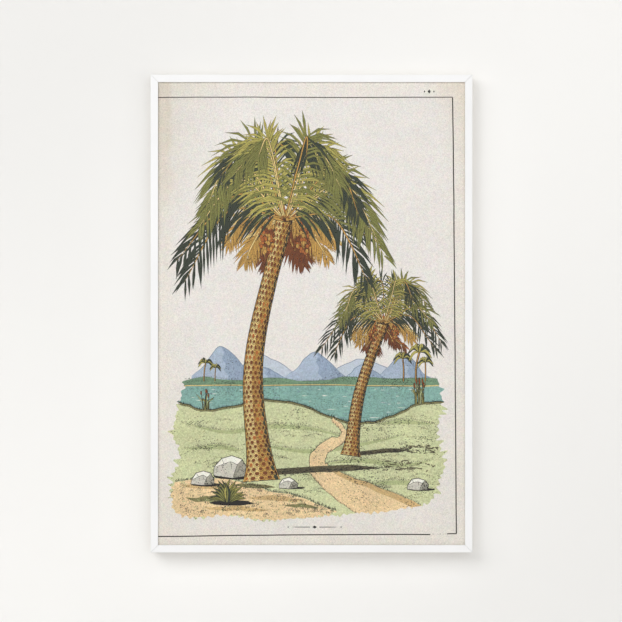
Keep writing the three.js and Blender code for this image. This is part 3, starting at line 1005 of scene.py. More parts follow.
class SheetCutter:
    """Turns the plate's overlapping shapes into one sheet of triangles, each of one printed colour.

    The stack is triangulated twice: once with every outline in it, to find which shape is on top in each
    cell, and again with only the edges that part two colours.
    """

    CLOSE = 0.005  # how far a corner may be from a straight edge that leaves it out
    SAME = 1e-5  # how far apart two corners are that count as one
    SMALLEST = 0.01  # area of the smallest shape that is kept
    LEAK = 1.5  # how many times its own area a shape may seem to cover
    SPARE = 1.0  # area that it may seem to cover beyond that

    def __init__(self, plate: Plate) -> None:
        """Take over the plate's shapes.

        Args:
            plate: The finished drawing.
        """
        self.tints = list(Tint)
        edge = np.array([0, plate.width, complex(plate.width, plate.height), 1j * plate.height])
        self.outlines = [edge]
        self.shown = [self.tints.index(Tint.PAPER)]
        for outline, tint in plate.shapes:
            outline = outline[np.abs(outline - np.roll(outline, 1)) > 4 * self.CLOSE]
            if len(outline) < 3 or abs(signed_area(outline)) < self.SMALLEST:
                continue
            self.outlines.append(outline if signed_area(outline) > 0 else outline[::-1])
            self.shown.append(self.tints.index(tint))

    def cut(self) -> tuple[Line, np.ndarray, np.ndarray]:
        """Cut the sheet.

        Returns:
            The corners, the triangles as rows of three corners, and each triangle's place in the list of
            tints.
        """
        return self.fill_cells(self.straighten(self.find_borders(self.find_cells())))

    def find_cells(self) -> Cells:
        """Cut the stack along every outline, and find the shape on top in each cell."""
        points = np.concatenate(self.outlines)
        ends = np.cumsum([len(outline) for outline in self.outlines])
        rings = [list(range(end - len(outline), end)) for end, outline in zip(ends, self.outlines)]
        flat = [Vector((z.real, z.imag)) for z in points]
        corners, _, cells, _, _, owners = delaunay_2d_cdt(flat, [], rings, 1, self.SAME, True)
        corners, cells = np.array([complex(p.x, p.y) for p in corners]), np.array(cells)
        tops = np.array([max(owner, default=0) for owner in owners])
        a, b, c = (corners[cells[:, k]] for k in range(3))
        sizes = np.abs(((b - a).conjugate() * (c - a)).imag) / 2
        own = np.array([signed_area(outline) for outline in self.outlines])
        most = self.LEAK * own + self.SPARE
        most[0] = math.inf  # the sheet itself covers whatever is left
        leaking: set[int] = set()
        while found := set(np.flatnonzero(np.bincount(tops, sizes, len(rings)) > most).tolist()):
            leaking |= found
            for i in np.flatnonzero(np.isin(tops, list(found))):
                tops[i] = max((owner for owner in owners[i] if owner not in leaking), default=0)
        return Cells(corners, cells, tops)

    def find_borders(self, cells: Cells) -> Borders:
        """Keep only the edges that part two colours."""
        tint = np.array(self.shown)[cells.tops]
        start, end = cells.triangles.ravel(), np.roll(cells.triangles, -1, axis=1).ravel()
        left = np.repeat(tint, 3)
        count = len(cells.corners)
        here, there = start * count + end, end * count + start
        order = np.argsort(here)
        match = np.minimum(np.searchsorted(here[order], there), len(order) - 1)
        right = np.where(here[order][match] == there, left[order[match]], -1)
        keep = left != right
        pairs = zip(start[keep].tolist(), end[keep].tolist())
        return Borders(cells.corners, dict(zip(pairs, left[keep].tolist())))

    def straighten(self, borders: Borders) -> Borders:
        """Leave out the corners that lie on a straight stretch between two others."""
        corners, left_of = borders.corners, borders.left_of
        ways: dict[int, set[int]] = {}
        for a, b in left_of:
            ways.setdefault(a, set()).add(b)
            ways.setdefault(b, set()).add(a)
        for middle in list(ways):
            if len(ways[middle]) != 2:
                continue
            a, b = ways[middle]
            chord, first = corners[b] - corners[a], corners[middle] - corners[a]
            off = abs((first * chord.conjugate()).imag) / max(abs(chord), 1e-9)
            turns_back = (first * (corners[b] - corners[middle]).conjugate()).real < 0
            if off > self.CLOSE or turns_back or b in ways[a]:
                continue
            ways[a] ^= {middle, b}
            ways[b] ^= {middle, a}
            for u, v in ((a, b), (b, a)):
                tint = left_of.pop((u, middle), None)
                if left_of.pop((middle, v), None) is not None and tint is not None:
                    left_of[u, v] = tint
            del ways[middle]
        kept = {k: i for i, k in enumerate(ways)}
        left_of = {(kept[a], kept[b]): tint for (a, b), tint in left_of.items()}
        return Borders(corners[list(kept)], left_of)

    def fill_cells(self, borders: Borders) -> tuple[Line, np.ndarray, np.ndarray]:
        """Triangulate between the borders, and spread each border's colours over the cells beside it."""
        flat = [Vector((z.real, z.imag)) for z in borders.corners]
        lines = sorted({(min(pair), max(pair)) for pair in borders.left_of})
        corners, edges, cells, _, sources, _ = delaunay_2d_cdt(flat, lines, [], 0, self.SAME, True)
        spots = np.array([complex(p.x, p.y) for p in corners])
        beside: dict[tuple[int, int], int] = {}
        for (u, v), made_from in zip(edges, sources):
            for line in made_from:
                a, b = lines[line]
                if ((spots[v] - spots[u]) * (borders.corners[b] - borders.corners[a]).conjugate()).real < 0:
                    a, b = b, a
                beside[u, v] = borders.left_of.get((a, b), -1)
                beside[v, u] = borders.left_of.get((b, a), -1)
        sides = {(cell[k], cell[(k + 1) % 3]): i for i, cell in enumerate(cells) for k in range(3)}
        found = [-1] * len(cells)
        waiting = []
        for side, i in sides.items():
            if found[i] < 0 and beside.get(side, -1) >= 0:
                found[i] = beside[side]
                waiting.append(i)
        while waiting:
            i = waiting.pop()
            for k in range(3):
                u, v = cells[i][k], cells[i][(k + 1) % 3]
                neighbour = sides.get((v, u))
                if (u, v) not in beside and neighbour is not None and found[neighbour] < 0:
                    found[neighbour] = found[i]
                    waiting.append(neighbour)
        return spots, np.array(cells), np.maximum(found, 0)


# ---- Node trees ----

class Nodes:
    """A node tree under construction."""

    def __init__(self, tree: NodeTree) -> None:
        """Start on a shader or geometry tree."""
        self.tree = tree

    def add(self, kind: str, given: dict[int | str, Any] | None = None, **settings: Any) -> Node:
        """Add a node.

        Args:
            kind: The node's type.
            given: What goes into its sockets, each a number, a colour or another node's output.
            **settings: The node's own settings.

        Returns:
            The node.
        """
        node = self.tree.nodes.new(kind)
        for name, value in settings.items():
            setattr(node, name, value)
        self.feed(node, given or {})
        return node

    def feed(self, node: Node, given: dict[int | str, Any]) -> None:
        """Set a node's sockets, or link other nodes' outputs to them."""
        for socket, value in given.items():
            if isinstance(value, NodeSocket):
                self.tree.links.new(value, node.inputs[socket])
            else:
                node.inputs[socket].default_value = value

    def give(self, node: Node, **values: Any) -> None:
        """Set or link a node's sockets, named with underscores for spaces."""
        self.feed(node, {name.replace("_", " "): value for name, value in values.items()})

    def maths(self, operation: str, *values: Any) -> NodeSocket:
        """Add a sum of one kind, and return its result."""
        return self.add("ShaderNodeMath", dict(enumerate(values)), operation=operation).outputs[0]

    def mixed(self, share: Any, first: Any, second: Any, blend: str = "MIX") -> NodeSocket:
        """Mix two colours, and return the result."""
        node = self.add("ShaderNodeMix", {0: share, 6: first, 7: second}, data_type="RGBA", blend_type=blend)
        return node.outputs[2]

    def spotted(self, mask: Any, strength: float, base: Any, colour: Any) -> NodeSocket:
        """Lay a colour over another where a mask is, at a strength, and return the result."""
        return self.mixed(self.maths("MULTIPLY", mask, strength), base, colour)

    def scaled(self, vector: Any, factor: Any) -> NodeSocket:
        """Multiply a vector or colour by a number, and return the result."""
        return self.add("ShaderNodeVectorMath", {0: vector, "Scale": factor}, operation="SCALE").outputs[0]

    def ranged(self, value: Any, low: Any, high: Any, start: Any = 0.0, end: Any = 1.0) -> NodeSocket:
        """Ease a value from one range to another, and return the result."""
        given = {0: value, 1: low, 2: high, 3: start, 4: end}
        return self.add("ShaderNodeMapRange", given, interpolation_type="SMOOTHSTEP").outputs[0]

    def fading(self, value: Any, full: Any, gone: Any) -> NodeSocket:
        """Ease from 1 where a value is at one limit to 0 at the other, and return the result."""
        return self.ranged(value, full, gone, 1.0, 0.0)

    def noise(self, places: Any, scale: float, detail: float = 2.0, distortion: float = 0.0) -> NodeSocket:
        """Add soft noise round 0.5, and return it."""
        given = {"Vector": places, "Scale": scale, "Detail": detail, "Distortion": distortion}
        return self.add("ShaderNodeTexNoise", given).outputs[0]

    def bump(self, height: NodeSocket, depth: float) -> NodeSocket:
        """Turn a height from 0 to 1 into normals, as deep as `depth` metres, and return them."""
        given = {"Height": height, "Distance": depth, "Strength": 1.0}
        return self.add("ShaderNodeBump", given).outputs[0]

    def blend(self, share: Any, first: Node, second: Node) -> None:
        """Make a material's surface from two shaders, with a share of the second."""
        both = self.add("ShaderNodeMixShader", {0: share, 1: first.outputs[0], 2: second.outputs[0]})
        self.tree.links.new(both.outputs[0], self.tree.nodes["Material Output"].inputs["Surface"])

    def joined(self, *parts: NodeSocket) -> NodeSocket:
        """Join geometries, and return the result."""
        node = self.add("GeometryNodeJoinGeometry")
        for part in parts:
            self.tree.links.new(part, node.inputs[0])
        return node.outputs[0]

    def places(self, stretch: Triple = (1.0, 1.0, 1.0)) -> NodeSocket:
        """Read a piece's own coordinates, stretched along each axis, and return them."""
        own = self.add("ShaderNodeTexCoord").outputs["Object"]
        return self.add("ShaderNodeMapping", {"Vector": own, "Scale": stretch}).outputs[0]


class SharedGroup(Nodes):
    """A shader node group that is built once and placed in many materials."""

    def __init__(self, name: str, inputs: dict[str, str], outputs: dict[str, str]) -> None:
        """Start a group with named sockets.

        Args:
            name: The group's name.
            inputs: Each input's name and kind.
            outputs: Each output's name and kind.
        """
        super().__init__(bpy.data.node_groups.new(name, "ShaderNodeTree"))
        for in_out, sockets in (("INPUT", inputs), ("OUTPUT", outputs)):
            for title, kind in sockets.items():
                self.tree.interface.new_socket(title, in_out=in_out, socket_type=f"NodeSocket{kind}")
        self.given = self.add("NodeGroupInput").outputs
        self.result = self.add("NodeGroupOutput").inputs

    def put_out(self, name: str, value: NodeSocket) -> None:
        """Link a value to one of the group's outputs."""
        self.tree.links.new(value, self.result[name])

    def place_in(self, nodes: Nodes, **given: Any) -> bpy_prop_collection:
        """Place the group in a material.

        Args:
            nodes: The material's nodes.
            **given: What goes into the group's inputs, named with underscores for spaces.

        Returns:
            The placed group's outputs.
        """
        node = nodes.add("ShaderNodeGroup", node_tree=self.tree)
        nodes.give(node, **given)
        return node.outputs


def speckle_group() -> SharedGroup:
    """Build the group that scatters small specks, whose size can change over the surface."""
    group = SharedGroup("speckle", {"Places": "Vector", "Scale": "Float", "Size": "Float"}, {"Mask": "Float"})
    given = {"Vector": group.given["Places"], "Scale": group.given["Scale"], "Randomness": 1.0}
    away = group.add("ShaderNodeTexVoronoi", given).outputs["Distance"]
    inner = group.maths("MULTIPLY", group.given["Size"], 0.75)
    group.put_out("Mask", group.fading(away, inner, group.given["Size"]))
    return group


def drift_group() -> SharedGroup:
    """Build the group whose value drifts over the surface between two others."""
    inputs = {"Places": "Vector", "Scale": "Float", "Low": "Float", "High": "Float"}
    group = SharedGroup("drift", inputs, {"Value": "Float"})
    noise = group.noise(group.given["Places"], 1.0, 3.0)
    group.tree.links.new(group.given["Scale"], noise.node.inputs["Scale"])
    group.put_out("Value", group.ranged(noise, 0.3, 0.7, group.given["Low"], group.given["High"]))
    return group


def printed_group(speckle: SharedGroup, drift: SharedGroup) -> SharedGroup:
    """Build the group that prints a colour: an uneven wash with a grained stipple over it.

    Args:
        speckle: The shared specks.
        drift: The shared slow change.

    Returns:
        The group.
    """
    inputs = {"Colour": "Color", "Ink": "Color", "Stipple": "Float", "Unevenness": "Float"}
    group = SharedGroup("printed wash", inputs, {"Colour": "Color", "Height": "Float"})
    places = group.places()
    pool = drift.place_in(group, Places=places, Scale=24.0, Low=-1.04, High=-0.88)["Value"]
    crayon = group.noise(places, 430.0, 3.0)
    crayon.node.inputs["Roughness"].default_value = 1.0
    change = group.maths("MULTIPLY_ADD", crayon, 1.92, pool)
    lift = group.maths("MULTIPLY_ADD", change, group.given["Unevenness"], 1.0)
    washed = group.scaled(group.given["Colour"], lift)
    rows = group.places((0.5, 1.0, 1.0))
    crowd = drift.place_in(group, Places=rows, Scale=46.0, Low=-0.35, High=1.3)["Value"]
    size = group.maths("SQRT", group.maths("MULTIPLY", crowd, group.given["Stipple"]))
    size = group.maths("MULTIPLY", size, 0.46)
    dots = speckle.place_in(group, Places=rows, Scale=560.0, Size=size)["Mask"]
    group.put_out("Colour", group.spotted(dots, 0.8, washed, group.given["Ink"]))
    group.put_out("Height", group.noise(places, 2600.0, 3.0))
    return group


def mottle_group() -> SharedGroup:
    """Build the group that gives a sheet its warm and cool cloudiness and its grain."""
    group = SharedGroup("paper mottle", {"Colour": "Color"}, {"Colour": "Color"})
    places = group.places()
    clouds = group.noise(places, 75.0, 5.0).node
    clouds.inputs["Roughness"].default_value = 1.0
    grain = group.maths("MULTIPLY_ADD", group.noise(places, 700.0, 1.0), 0.44, 0.78)
    given = {0: clouds.outputs["Color"], 1: (0.5, 0.5, 0.5)}
    centred = group.add("ShaderNodeVectorMath", given, operation="SUBTRACT")
    given = {0: centred.outputs[0], 1: (0.26, 0.26, 0.26), 2: grain}
    factor = group.add("ShaderNodeVectorMath", given, operation="MULTIPLY_ADD").outputs[0]
    given = {0: group.given["Colour"], 1: factor}
    group.put_out("Colour", group.add("ShaderNodeVectorMath", given, operation="MULTIPLY").outputs[0])
    return group


def toned_and_shaded_group(speckle: SharedGroup, drift: SharedGroup, mottle: SharedGroup) -> SharedGroup:
    """Build the group that tones the sheet, with painted shade: browner towards its edges, mottled, a few
    pulp flecks.

    Args:
        speckle: The shared specks.
        drift: The shared slow change.
        mottle: The shared mottle.

    Returns:
        The group.
    """
    inputs = {"Colour": "Color", "Middle": "Float", "Half width": "Float", "Half height": "Float"}
    group = SharedGroup("toned by age", inputs, {"Colour": "Color"})
    places = group.places()
    axes = group.add("ShaderNodeSeparateXYZ", {0: places}).outputs
    waver = drift.place_in(group, Places=places, Scale=16.0, Low=-0.006, High=0.006)["Value"]
    up = group.maths("ADD", group.maths("SUBTRACT", axes[2], group.given["Middle"]), waver)
    from_left = group.maths("ADD", group.maths("ADD", axes[0], waver), group.given["Half width"])
    from_right = group.maths("SUBTRACT", group.maths("MULTIPLY", group.given["Half width"], 2.0), from_left)
    from_top = group.maths("SUBTRACT", group.given["Half height"], up)
    from_foot = group.maths("ADD", group.given["Half height"], up)
    beside = group.maths("MINIMUM", from_left, from_right)
    room = group.maths("MINIMUM", beside, group.maths("MINIMUM", from_top, from_foot))
    # partly the paper's toning, partly painted shade: the left strip and the corners darken more towards the
    # top, where the light falls brighter
    strip = group.maths("MULTIPLY", group.fading(from_left, 0.012, 0.022), group.fading(from_top, 0.0, 0.24))
    painted_shade_falloff = group.maths("MULTIPLY", from_top, 0.32)
    left_corner_and_shade, right_corner_and_shade = (
        group.fading(group.maths("DIVIDE", group.maths("ADD", side, painted_shade_falloff), reach), 0.1, 1.1)
        for side, reach in ((from_left, 0.11), (from_right, 0.07))
    )
    pulp = speckle.place_in(group, Places=group.places((1.0, 1.0, 0.6)), Scale=120.0, Size=0.055)["Mask"]
    browned_and_shaded = group.given["Colour"]
    for mask, stain in (
        (group.fading(room, 0.004, 0.034), (1.0, 0.99, 0.958, 1.0)),
        (strip, (0.93, 0.90, 0.86, 1.0)),
        (left_corner_and_shade, (0.90, 0.895, 0.865, 1.0)),
        (right_corner_and_shade, (0.94, 0.91, 0.86, 1.0)),
        # darker and warmer towards the foot
        (group.fading(from_foot, 0.05, 0.4), (0.965, 0.96, 0.94, 1.0)),
        (group.maths("MULTIPLY", pulp, 0.4), (0.80, 0.72, 0.62, 1.0)),
    ):
        browned_and_shaded = group.mixed(mask, browned_and_shaded, stain, "MULTIPLY")
    group.put_out("Colour", mottle.place_in(group, Colour=browned_and_shaded)["Colour"])
    return group


@dataclass
class Workshop:
    """The shared node groups, made once."""

    speckle: SharedGroup = field(default_factory=speckle_group)
    drift: SharedGroup = field(default_factory=drift_group)
    printed: SharedGroup = field(init=False)
    toned: SharedGroup = field(init=False)

    def __post_init__(self) -> None:
        """Make the groups that hold others."""
        self.printed = printed_group(self.speckle, self.drift)
        self.toned = toned_and_shaded_group(self.speckle, self.drift, mottle_group())

    @staticmethod
    def start(name: str) -> tuple[Material, Nodes, Node]:
        """Start a material.

        Args:
            name: The material's name.

        Returns:
            The material, its nodes and its Principled shader.
        """
        material = bpy.data.materials.new(name)
        material.use_nodes = True
        nodes = Nodes(material.node_tree)
        return material, nodes, material.node_tree.nodes["Principled BSDF"]


# ---- Finishes ----

@dataclass(frozen=True)
class PrintedPaper:
    """One colour of the print on aged, uncoated paper."""

    middle: float
    half_width: float
    half_height: float
    gain: float = 0.979  # on every printed colour
    roughness: float = 0.85
    shine: float = 0.25
    tooth: float = 0.02 * MM

    def material(self, shop: Workshop, tint: Tint) -> Material:
        """Make the finish.

        Args:
            shop: The shared groups.
            tint: The printed colour.

        Returns:
            Its material.
        """
        wash = tint.value
        material, nodes, shader = shop.start(f"printed {wash.name}")
        nodes.give(shader, Roughness=self.roughness, Specular_IOR_Level=self.shine)
        colour, ink = (linear(one.colour, self.gain) for one in (wash, Tint.INK.value))
        if wash.plain:
            nodes.give(shader, Base_Color=colour)
            return material
        printed = shop.printed.place_in(nodes, Colour=colour, Ink=ink, Stipple=wash.stipple,
                                        Unevenness=wash.unevenness)
        toned = shop.toned.place_in(nodes, Colour=printed["Colour"], Middle=self.middle,
                                    Half_width=self.half_width, Half_height=self.half_height)
        nodes.give(shader, Base_Color=toned["Colour"], Normal=nodes.bump(printed["Height"], self.tooth))
        return material


@dataclass(frozen=True)
class SatinLacquer:
    """Sprayed white lacquer: a fine orange peel, slightly uneven gloss, and a thinner coat behind."""

    name: str = "satin white lacquer"
    white: Rgb = (240, 240, 240)
    thin: Rgb = (222, 217, 208)
    dust: Rgb = (206, 200, 190)
    covered: float = 0.3  # share of the depth, from the front, that has the full coat
    shine: float = 0.3
    peel: float = 0.012 * MM

    def material(self, shop: Workshop, front: float, back: float) -> Material:
        """Make the finish.

        Args:
            shop: The shared groups.
            front: The front of the rails, along Y.
            back: The back of the rails, along Y.

        Returns:
            Its material.
        """
        material, nodes, shader = shop.start(self.name)
        places = nodes.places()
        depth = nodes.add("ShaderNodeSeparateXYZ", {0: places}).outputs[1]
        behind = nodes.ranged(depth, self.covered * back + (1 - self.covered) * front, back)
        patchy = shop.drift.place_in(nodes, Places=places, Scale=9.0, Low=0.965, High=1.0)["Value"]
        grey = nodes.add("ShaderNodeCombineColor", {0: patchy, 1: patchy, 2: patchy}).outputs[0]
        coat = nodes.mixed(behind, linear(self.white), linear(self.thin))
        coat = nodes.mixed(1.0, coat, grey, "MULTIPLY")
        specks = shop.speckle.place_in(nodes, Places=places, Scale=420.0, Size=0.07)["Mask"]
        coat = nodes.spotted(specks, 0.3, coat, linear(self.dust))
        gloss = shop.drift.place_in(nodes, Places=places, Scale=60.0, Low=0.36, High=0.48)["Value"]
        peel = nodes.bump(nodes.noise(places, 750.0, 1.5), self.peel)
        nodes.give(shader, Base_Color=coat, Roughness=gloss, Normal=peel, Specular_IOR_Level=self.shine)
        return material


@dataclass(frozen=True)
class ClearAcrylic:
    """Thin clear sheet with a coating that keeps reflections faint."""

    name: str = "clear acrylic"
    tone: Rgba = (0.997, 0.998, 0.997, 1.0)
    bend: float = 1.32  # for what both sides mirror, because only the side that a ray meets first does
    blur: float = 0.03

    def material(self) -> Material:
        """Make the finish."""
        material, nodes, shader = Workshop.start(self.name)
        nodes.tree.nodes.remove(shader)
        clear = nodes.add("ShaderNodeBsdfTransparent", {"Color": self.tone})
        mirror = nodes.add("ShaderNodeBsdfAnisotropic", {"Roughness": self.blur})
        fresnel = nodes.add("ShaderNodeFresnel", {"IOR": self.bend}).outputs[0]
        inside = nodes.add("ShaderNodeNewGeometry").outputs["Backfacing"]
        nodes.blend(nodes.maths("MULTIPLY", fresnel, nodes.maths("SUBTRACT", 1.0, inside)), clear, mirror)
        return material


@dataclass(frozen=True)
class Fibreboard:
    """Pressed brown board: felted fibres, dark chips and pale slivers."""

    name: str = "pressed fibreboard"
    light: Rgb = (178, 146, 106)
    dark: Rgb = (143, 110, 76)
    chip: Rgb = (96, 68, 44)
    sliver: Rgb = (206, 178, 138)
    relief: float = 0.05 * MM

    def material(self, shop: Workshop) -> Material:
        """Make the finish."""
        material, nodes, shader = shop.start(self.name)
        places = nodes.places()
        clouds = shop.drift.place_in(nodes, Places=places, Scale=13.0, Low=-0.05, High=0.05)["Value"]
        ways = ((0.22, 1.0, 1.0), (1.0, 1.0, 0.22))
        felted = nodes.maths("MAXIMUM", *(nodes.noise(nodes.places(way), 1500.0, 4.0, 0.6) for way in ways))
        tone = nodes.ranged(nodes.maths("ADD", felted, clouds), 0.4, 0.76)
        board = nodes.mixed(tone, linear(self.dark), linear(self.light))
        for way, scale, colour, strength in (
            ((1.0, 1.0, 0.3), 900.0, self.sliver, 0.5),
            ((0.3, 1.0, 1.0), 760.0, self.chip, 0.7),
        ):
            bits = nodes.ranged(nodes.noise(nodes.places(way), scale, 1.0, 0.8), 0.69, 0.75)
            board = nodes.spotted(bits, strength, board, linear(colour))
        rough = nodes.ranged(felted, 0.3, 0.7, 0.7, 0.92)
        nodes.give(shader, Base_Color=board, Roughness=rough, Normal=nodes.bump(felted, self.relief))
        return material


@dataclass(frozen=True)
class ZincSteel:
    """Bright zinc plate on stamped steel, drawn out along one axis, with dull and yellowed patches."""

    name: str
    drawn: Triple = (0.12, 1.0, 1.0)  # how the lines are stretched along each axis
    bright: Rgb = (214, 217, 221)
    dull: Rgb = (168, 166, 158)
    pit: Rgb = (122, 104, 84)
    relief: float = 0.012 * MM

    def material(self, shop: Workshop) -> Material:
        """Make the finish."""
        material, nodes, shader = shop.start(self.name)
        places, lines = nodes.places(), nodes.noise(nodes.places(self.drawn), 3800.0, 3.0)
        cloud = shop.drift.place_in(nodes, Places=places, Scale=260.0, Low=0.0, High=0.8)["Value"]
        zinc = nodes.mixed(cloud, linear(self.bright), linear(self.dull))
        pits = shop.speckle.place_in(nodes, Places=places, Scale=1300.0, Size=0.16)["Mask"]
        zinc = nodes.spotted(pits, 0.6, zinc, linear(self.pit))
        worn = nodes.maths("MULTIPLY_ADD", lines, 0.18, nodes.maths("MULTIPLY_ADD", cloud, 0.14, 0.2))
        normal = nodes.bump(lines, self.relief)
        nodes.give(shader, Base_Color=zinc, Metallic=1.0, Roughness=worn, Normal=normal)
        return material


@dataclass(frozen=True)
class Felt:
    """Grey wool felt with paler and darker fibres."""

    name: str = "grey felt"
    dark: Rgb = (112, 109, 104)
    pale: Rgb = (186, 183, 176)
    fleck: Rgb = (92, 84, 76)
    relief: float = 0.15 * MM

    def material(self, shop: Workshop) -> Material:
        """Make the finish."""
        material, nodes, shader = shop.start(self.name)
        places = nodes.places()
        matted = nodes.noise(places, 1500.0, 5.0, 1.6)
        wool = nodes.mixed(nodes.ranged(matted, 0.3, 0.7), linear(self.dark), linear(self.pale))
        flecks = shop.speckle.place_in(nodes, Places=places, Scale=2200.0, Size=0.2)["Mask"]
        wool = nodes.spotted(flecks, 0.6, wool, linear(self.fleck))
        nodes.give(shader, Base_Color=wool, Roughness=1.0, Sheen_Weight=0.35, Sheen_Roughness=0.6,
                   Normal=nodes.bump(matted, self.relief))
        return material


# ---- Meshes ----

SAME_PLACE = 1e-6  # how far apart two corners are that count as one
FLAT = 0.5  # degrees up to which two faces count as one flat face
EDGE = 50.0  # degrees from which two faces meet in an edge that is broken


def shown(name: str, data: ID) -> Object:
    """Put a mesh, a lamp or a camera in the scene as an object of the same name."""
    data.name = name
    placed = bpy.data.objects.new(name, data)
    bpy.context.scene.collection.objects.link(placed)
    return placed


def joined_copy(node: str) -> BMesh:
    """Copy a node's mesh, with its loose triangles joined and its flat faces whole."""
    form = bmesh.new()
    form.from_mesh(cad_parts[node].data)
    bmesh.ops.remove_doubles(form, verts=form.verts, dist=SAME_PLACE)
    bmesh.ops.dissolve_limit(form, angle_limit=math.radians(FLAT), verts=form.verts, edges=form.edges)
    return form


def soften(form: BMesh, width: float, steps: int) -> None:
    """Bevel a form's sharp edges, and leave the joints of its round stretches."""
    turned = math.radians(EDGE)
    sharp = [edge for edge in form.edges if edge.is_manifold and edge.calc_face_angle() > turned]
    bmesh.ops.bevel(form, geom=sharp, offset=width, segments=steps, profile=0.5, affect="EDGES",
                    clamp_overlap=True)


def applied(carrier: Object) -> Mesh:
    """Take the plain mesh that an object's modifiers make of it, and remove the object."""
    mesh = bpy.data.meshes.new_from_object(carrier.evaluated_get(bpy.context.evaluated_depsgraph_get()))
    carrier.modifiers.clear()
    bpy.data.objects.remove(carrier)
    return mesh


def finished(form: BMesh, name: str, smooth: float) -> Object:
    """Turn a worked form into a shown piece, whose large flat sides look flat beside its roundings.

    Args:
        form: The form, which is used up.
        name: The piece's name.
        smooth: The angle in degrees up to which two faces look like one curved one.

    Returns:
        The piece.
    """
    rough = bpy.data.meshes.new(name)
    form.to_mesh(rough)
    form.free()
    loaded = rough.attributes.get("custom_normal")
    if loaded:  # it fits the faces that were joined, not the whole ones
        rough.attributes.remove(loaded)
    rough.shade_smooth()
    rough.set_sharp_from_angle(angle=math.radians(smooth))
    piece = shown(name, rough)
    piece.modifiers.new("weigh by area", "WEIGHTED_NORMAL").keep_sharp = True
    mesh = applied(piece)
    bpy.data.meshes.remove(rough)
    return shown(name, mesh)


def settle(piece: Object, slot: str, *replaced: str) -> None:
    """Fix a piece to the frame.

    Args:
        piece: The finished piece.
        slot: The record's material slot for it. It is not used.
        *replaced: The nodes that it stands for.
    """
    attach(piece, BODY)
    if replaced:
        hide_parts(*replaced)
    LOG.info("%s: %d faces", piece.name, len(piece.data.polygons))


# ---- The print ----

@dataclass
class PrintedSheet:
    """The print: one thin closed slab whose front is cut into printed colours."""

    node: str = "print"
    front_share: float = 0.9  # of the map's width, the rest being for the back

    def build(self, shop: Workshop) -> Object:
        """Draw the plate, and make the sheet that carries it.

        Args:
            shop: The shared groups.

        Returns:
            The sheet.
        """
        low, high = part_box(self.node)
        plate = landscape()
        corners, triangles, tints = SheetCutter(plate).cut()
        mesh = self.slab(corners, triangles, low, high)
        finish = PrintedPaper((low.z + high.z) / 2, (high.x - low.x) / 2, (high.z - low.z) / 2)
        used = [int(k) for k in np.unique(tints)]
        for k in used:
            mesh.materials.append(finish.material(shop, list(Tint)[k]))
        numbers = np.zeros(len(mesh.polygons), int)
        numbers[: len(tints)] = np.searchsorted(used, tints)
        mesh.polygons.foreach_set("material_index", numbers)
        self.lay_map(mesh, len(triangles), low, high)
        sheet = shown("printed_sheet", mesh)
        settle(sheet, "paper", self.node)
        return sheet

    @staticmethod
    def slab(corners: Line, triangles: np.ndarray, low: Vector, high: Vector) -> Mesh:
        """Make the closed slab.

        Args:
            corners: The corners of the front, on the plate.
            triangles: The triangles of the front.
            low: The sheet's lowest corner.
            high: Its highest corner.

        Returns:
            The mesh, with the front's triangles first.
        """
        ring = {}
        sides = {(a, b) for row in triangles.tolist() for a, b in zip(row, row[1:] + row[:1])}
        for a, b in sides:
            if (b, a) not in sides:
                ring[a] = b
        loop = [min(ring)]
        while ring[loop[-1]] != loop[0]:
            loop.append(ring[loop[-1]])
        front = [(low.x + z.real * MM, low.y, low.z + z.imag * MM) for z in corners]
        back = [(front[k][0], high.y, front[k][2]) for k in loop]
        count = len(front)
        rim = [(loop[i - 1], loop[i - 2], count + (i - 2) % len(loop), count + (i - 1) % len(loop))
               for i in range(len(loop))]
        rear = list(range(count, count + len(loop)))[::-1]
        mesh = bpy.data.meshes.new("printed sheet")
        mesh.from_pydata(front + back, [], triangles.tolist() + rim + [rear])
        return mesh

    def lay_map(self, mesh: Mesh, front_faces: int, low: Vector, high: Vector) -> None:
        """Lay the front flat over most of the map, and the rim and back over the rest.

        Args:
            mesh: The sheet's mesh.
            front_faces: How many of its faces are the front.
            low: The sheet's lowest corner.
            high: Its highest corner.
        """
        size = high - low
        points = np.empty(len(mesh.vertices) * 3)
        mesh.vertices.foreach_get("co", points)
        points = points.reshape(-1, 3)
        corners = np.empty(len(mesh.loops), int)
        mesh.loops.foreach_get("vertex_index", corners)
        across = (points[corners, 0] - low.x) / size.x
        behind = np.arange(len(corners)) >= 3 * front_faces
        margin = 1 - self.front_share
        u = np.where(behind, 1 - margin * (0.1 + 0.8 * across), self.front_share * across)
        v = (points[corners, 2] - low.z) / size.z
        mesh.uv_layers.new(name="OFBake").data.foreach_set("uv", np.stack([u, v], 1).ravel())


# ---- The frame ----

@dataclass
class Surround:
    """The four mitred rails."""

    sides: tuple[str, ...] = ("top", "right", "bottom", "left")
    smooth: float = 35.0  # degrees up to which two faces look like one

    def build(self, shop: Workshop) -> list[Object]:
        """Dress each rail in lacquer.

        Args:
            shop: The shared groups.

        Returns:
            The rails.
        """
        low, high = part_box("rail_top")
        lacquer = SatinLacquer().material(shop, low.y, high.y)
        rails = []
        for side in self.sides:
            node = f"rail_{side}"
            rail = finished(joined_copy(node), f"lacquered_rail_{side}", self.smooth)
            rail.data.materials.append(lacquer)
            settle(rail, "lacquer", node)
            rails.append(rail)
        return rails


def dress(node: str, material: Material) -> None:
    """Give a node that keeps its own shape a finish."""
    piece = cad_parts[node]
    piece.data.materials.clear()
    piece.data.materials.append(material)
    LOG.info("%s: kept, in %s", node, material.name)


# ---- Behind the print ----

class Inward(Enum):
    """The way into the frame from each side."""

    top = (0.0, 0.0, -1.0)
    right = (-1.0, 0.0, 0.0)
    bottom = (0.0, 0.0, 1.0)
    left = (1.0, 0.0, 0.0)


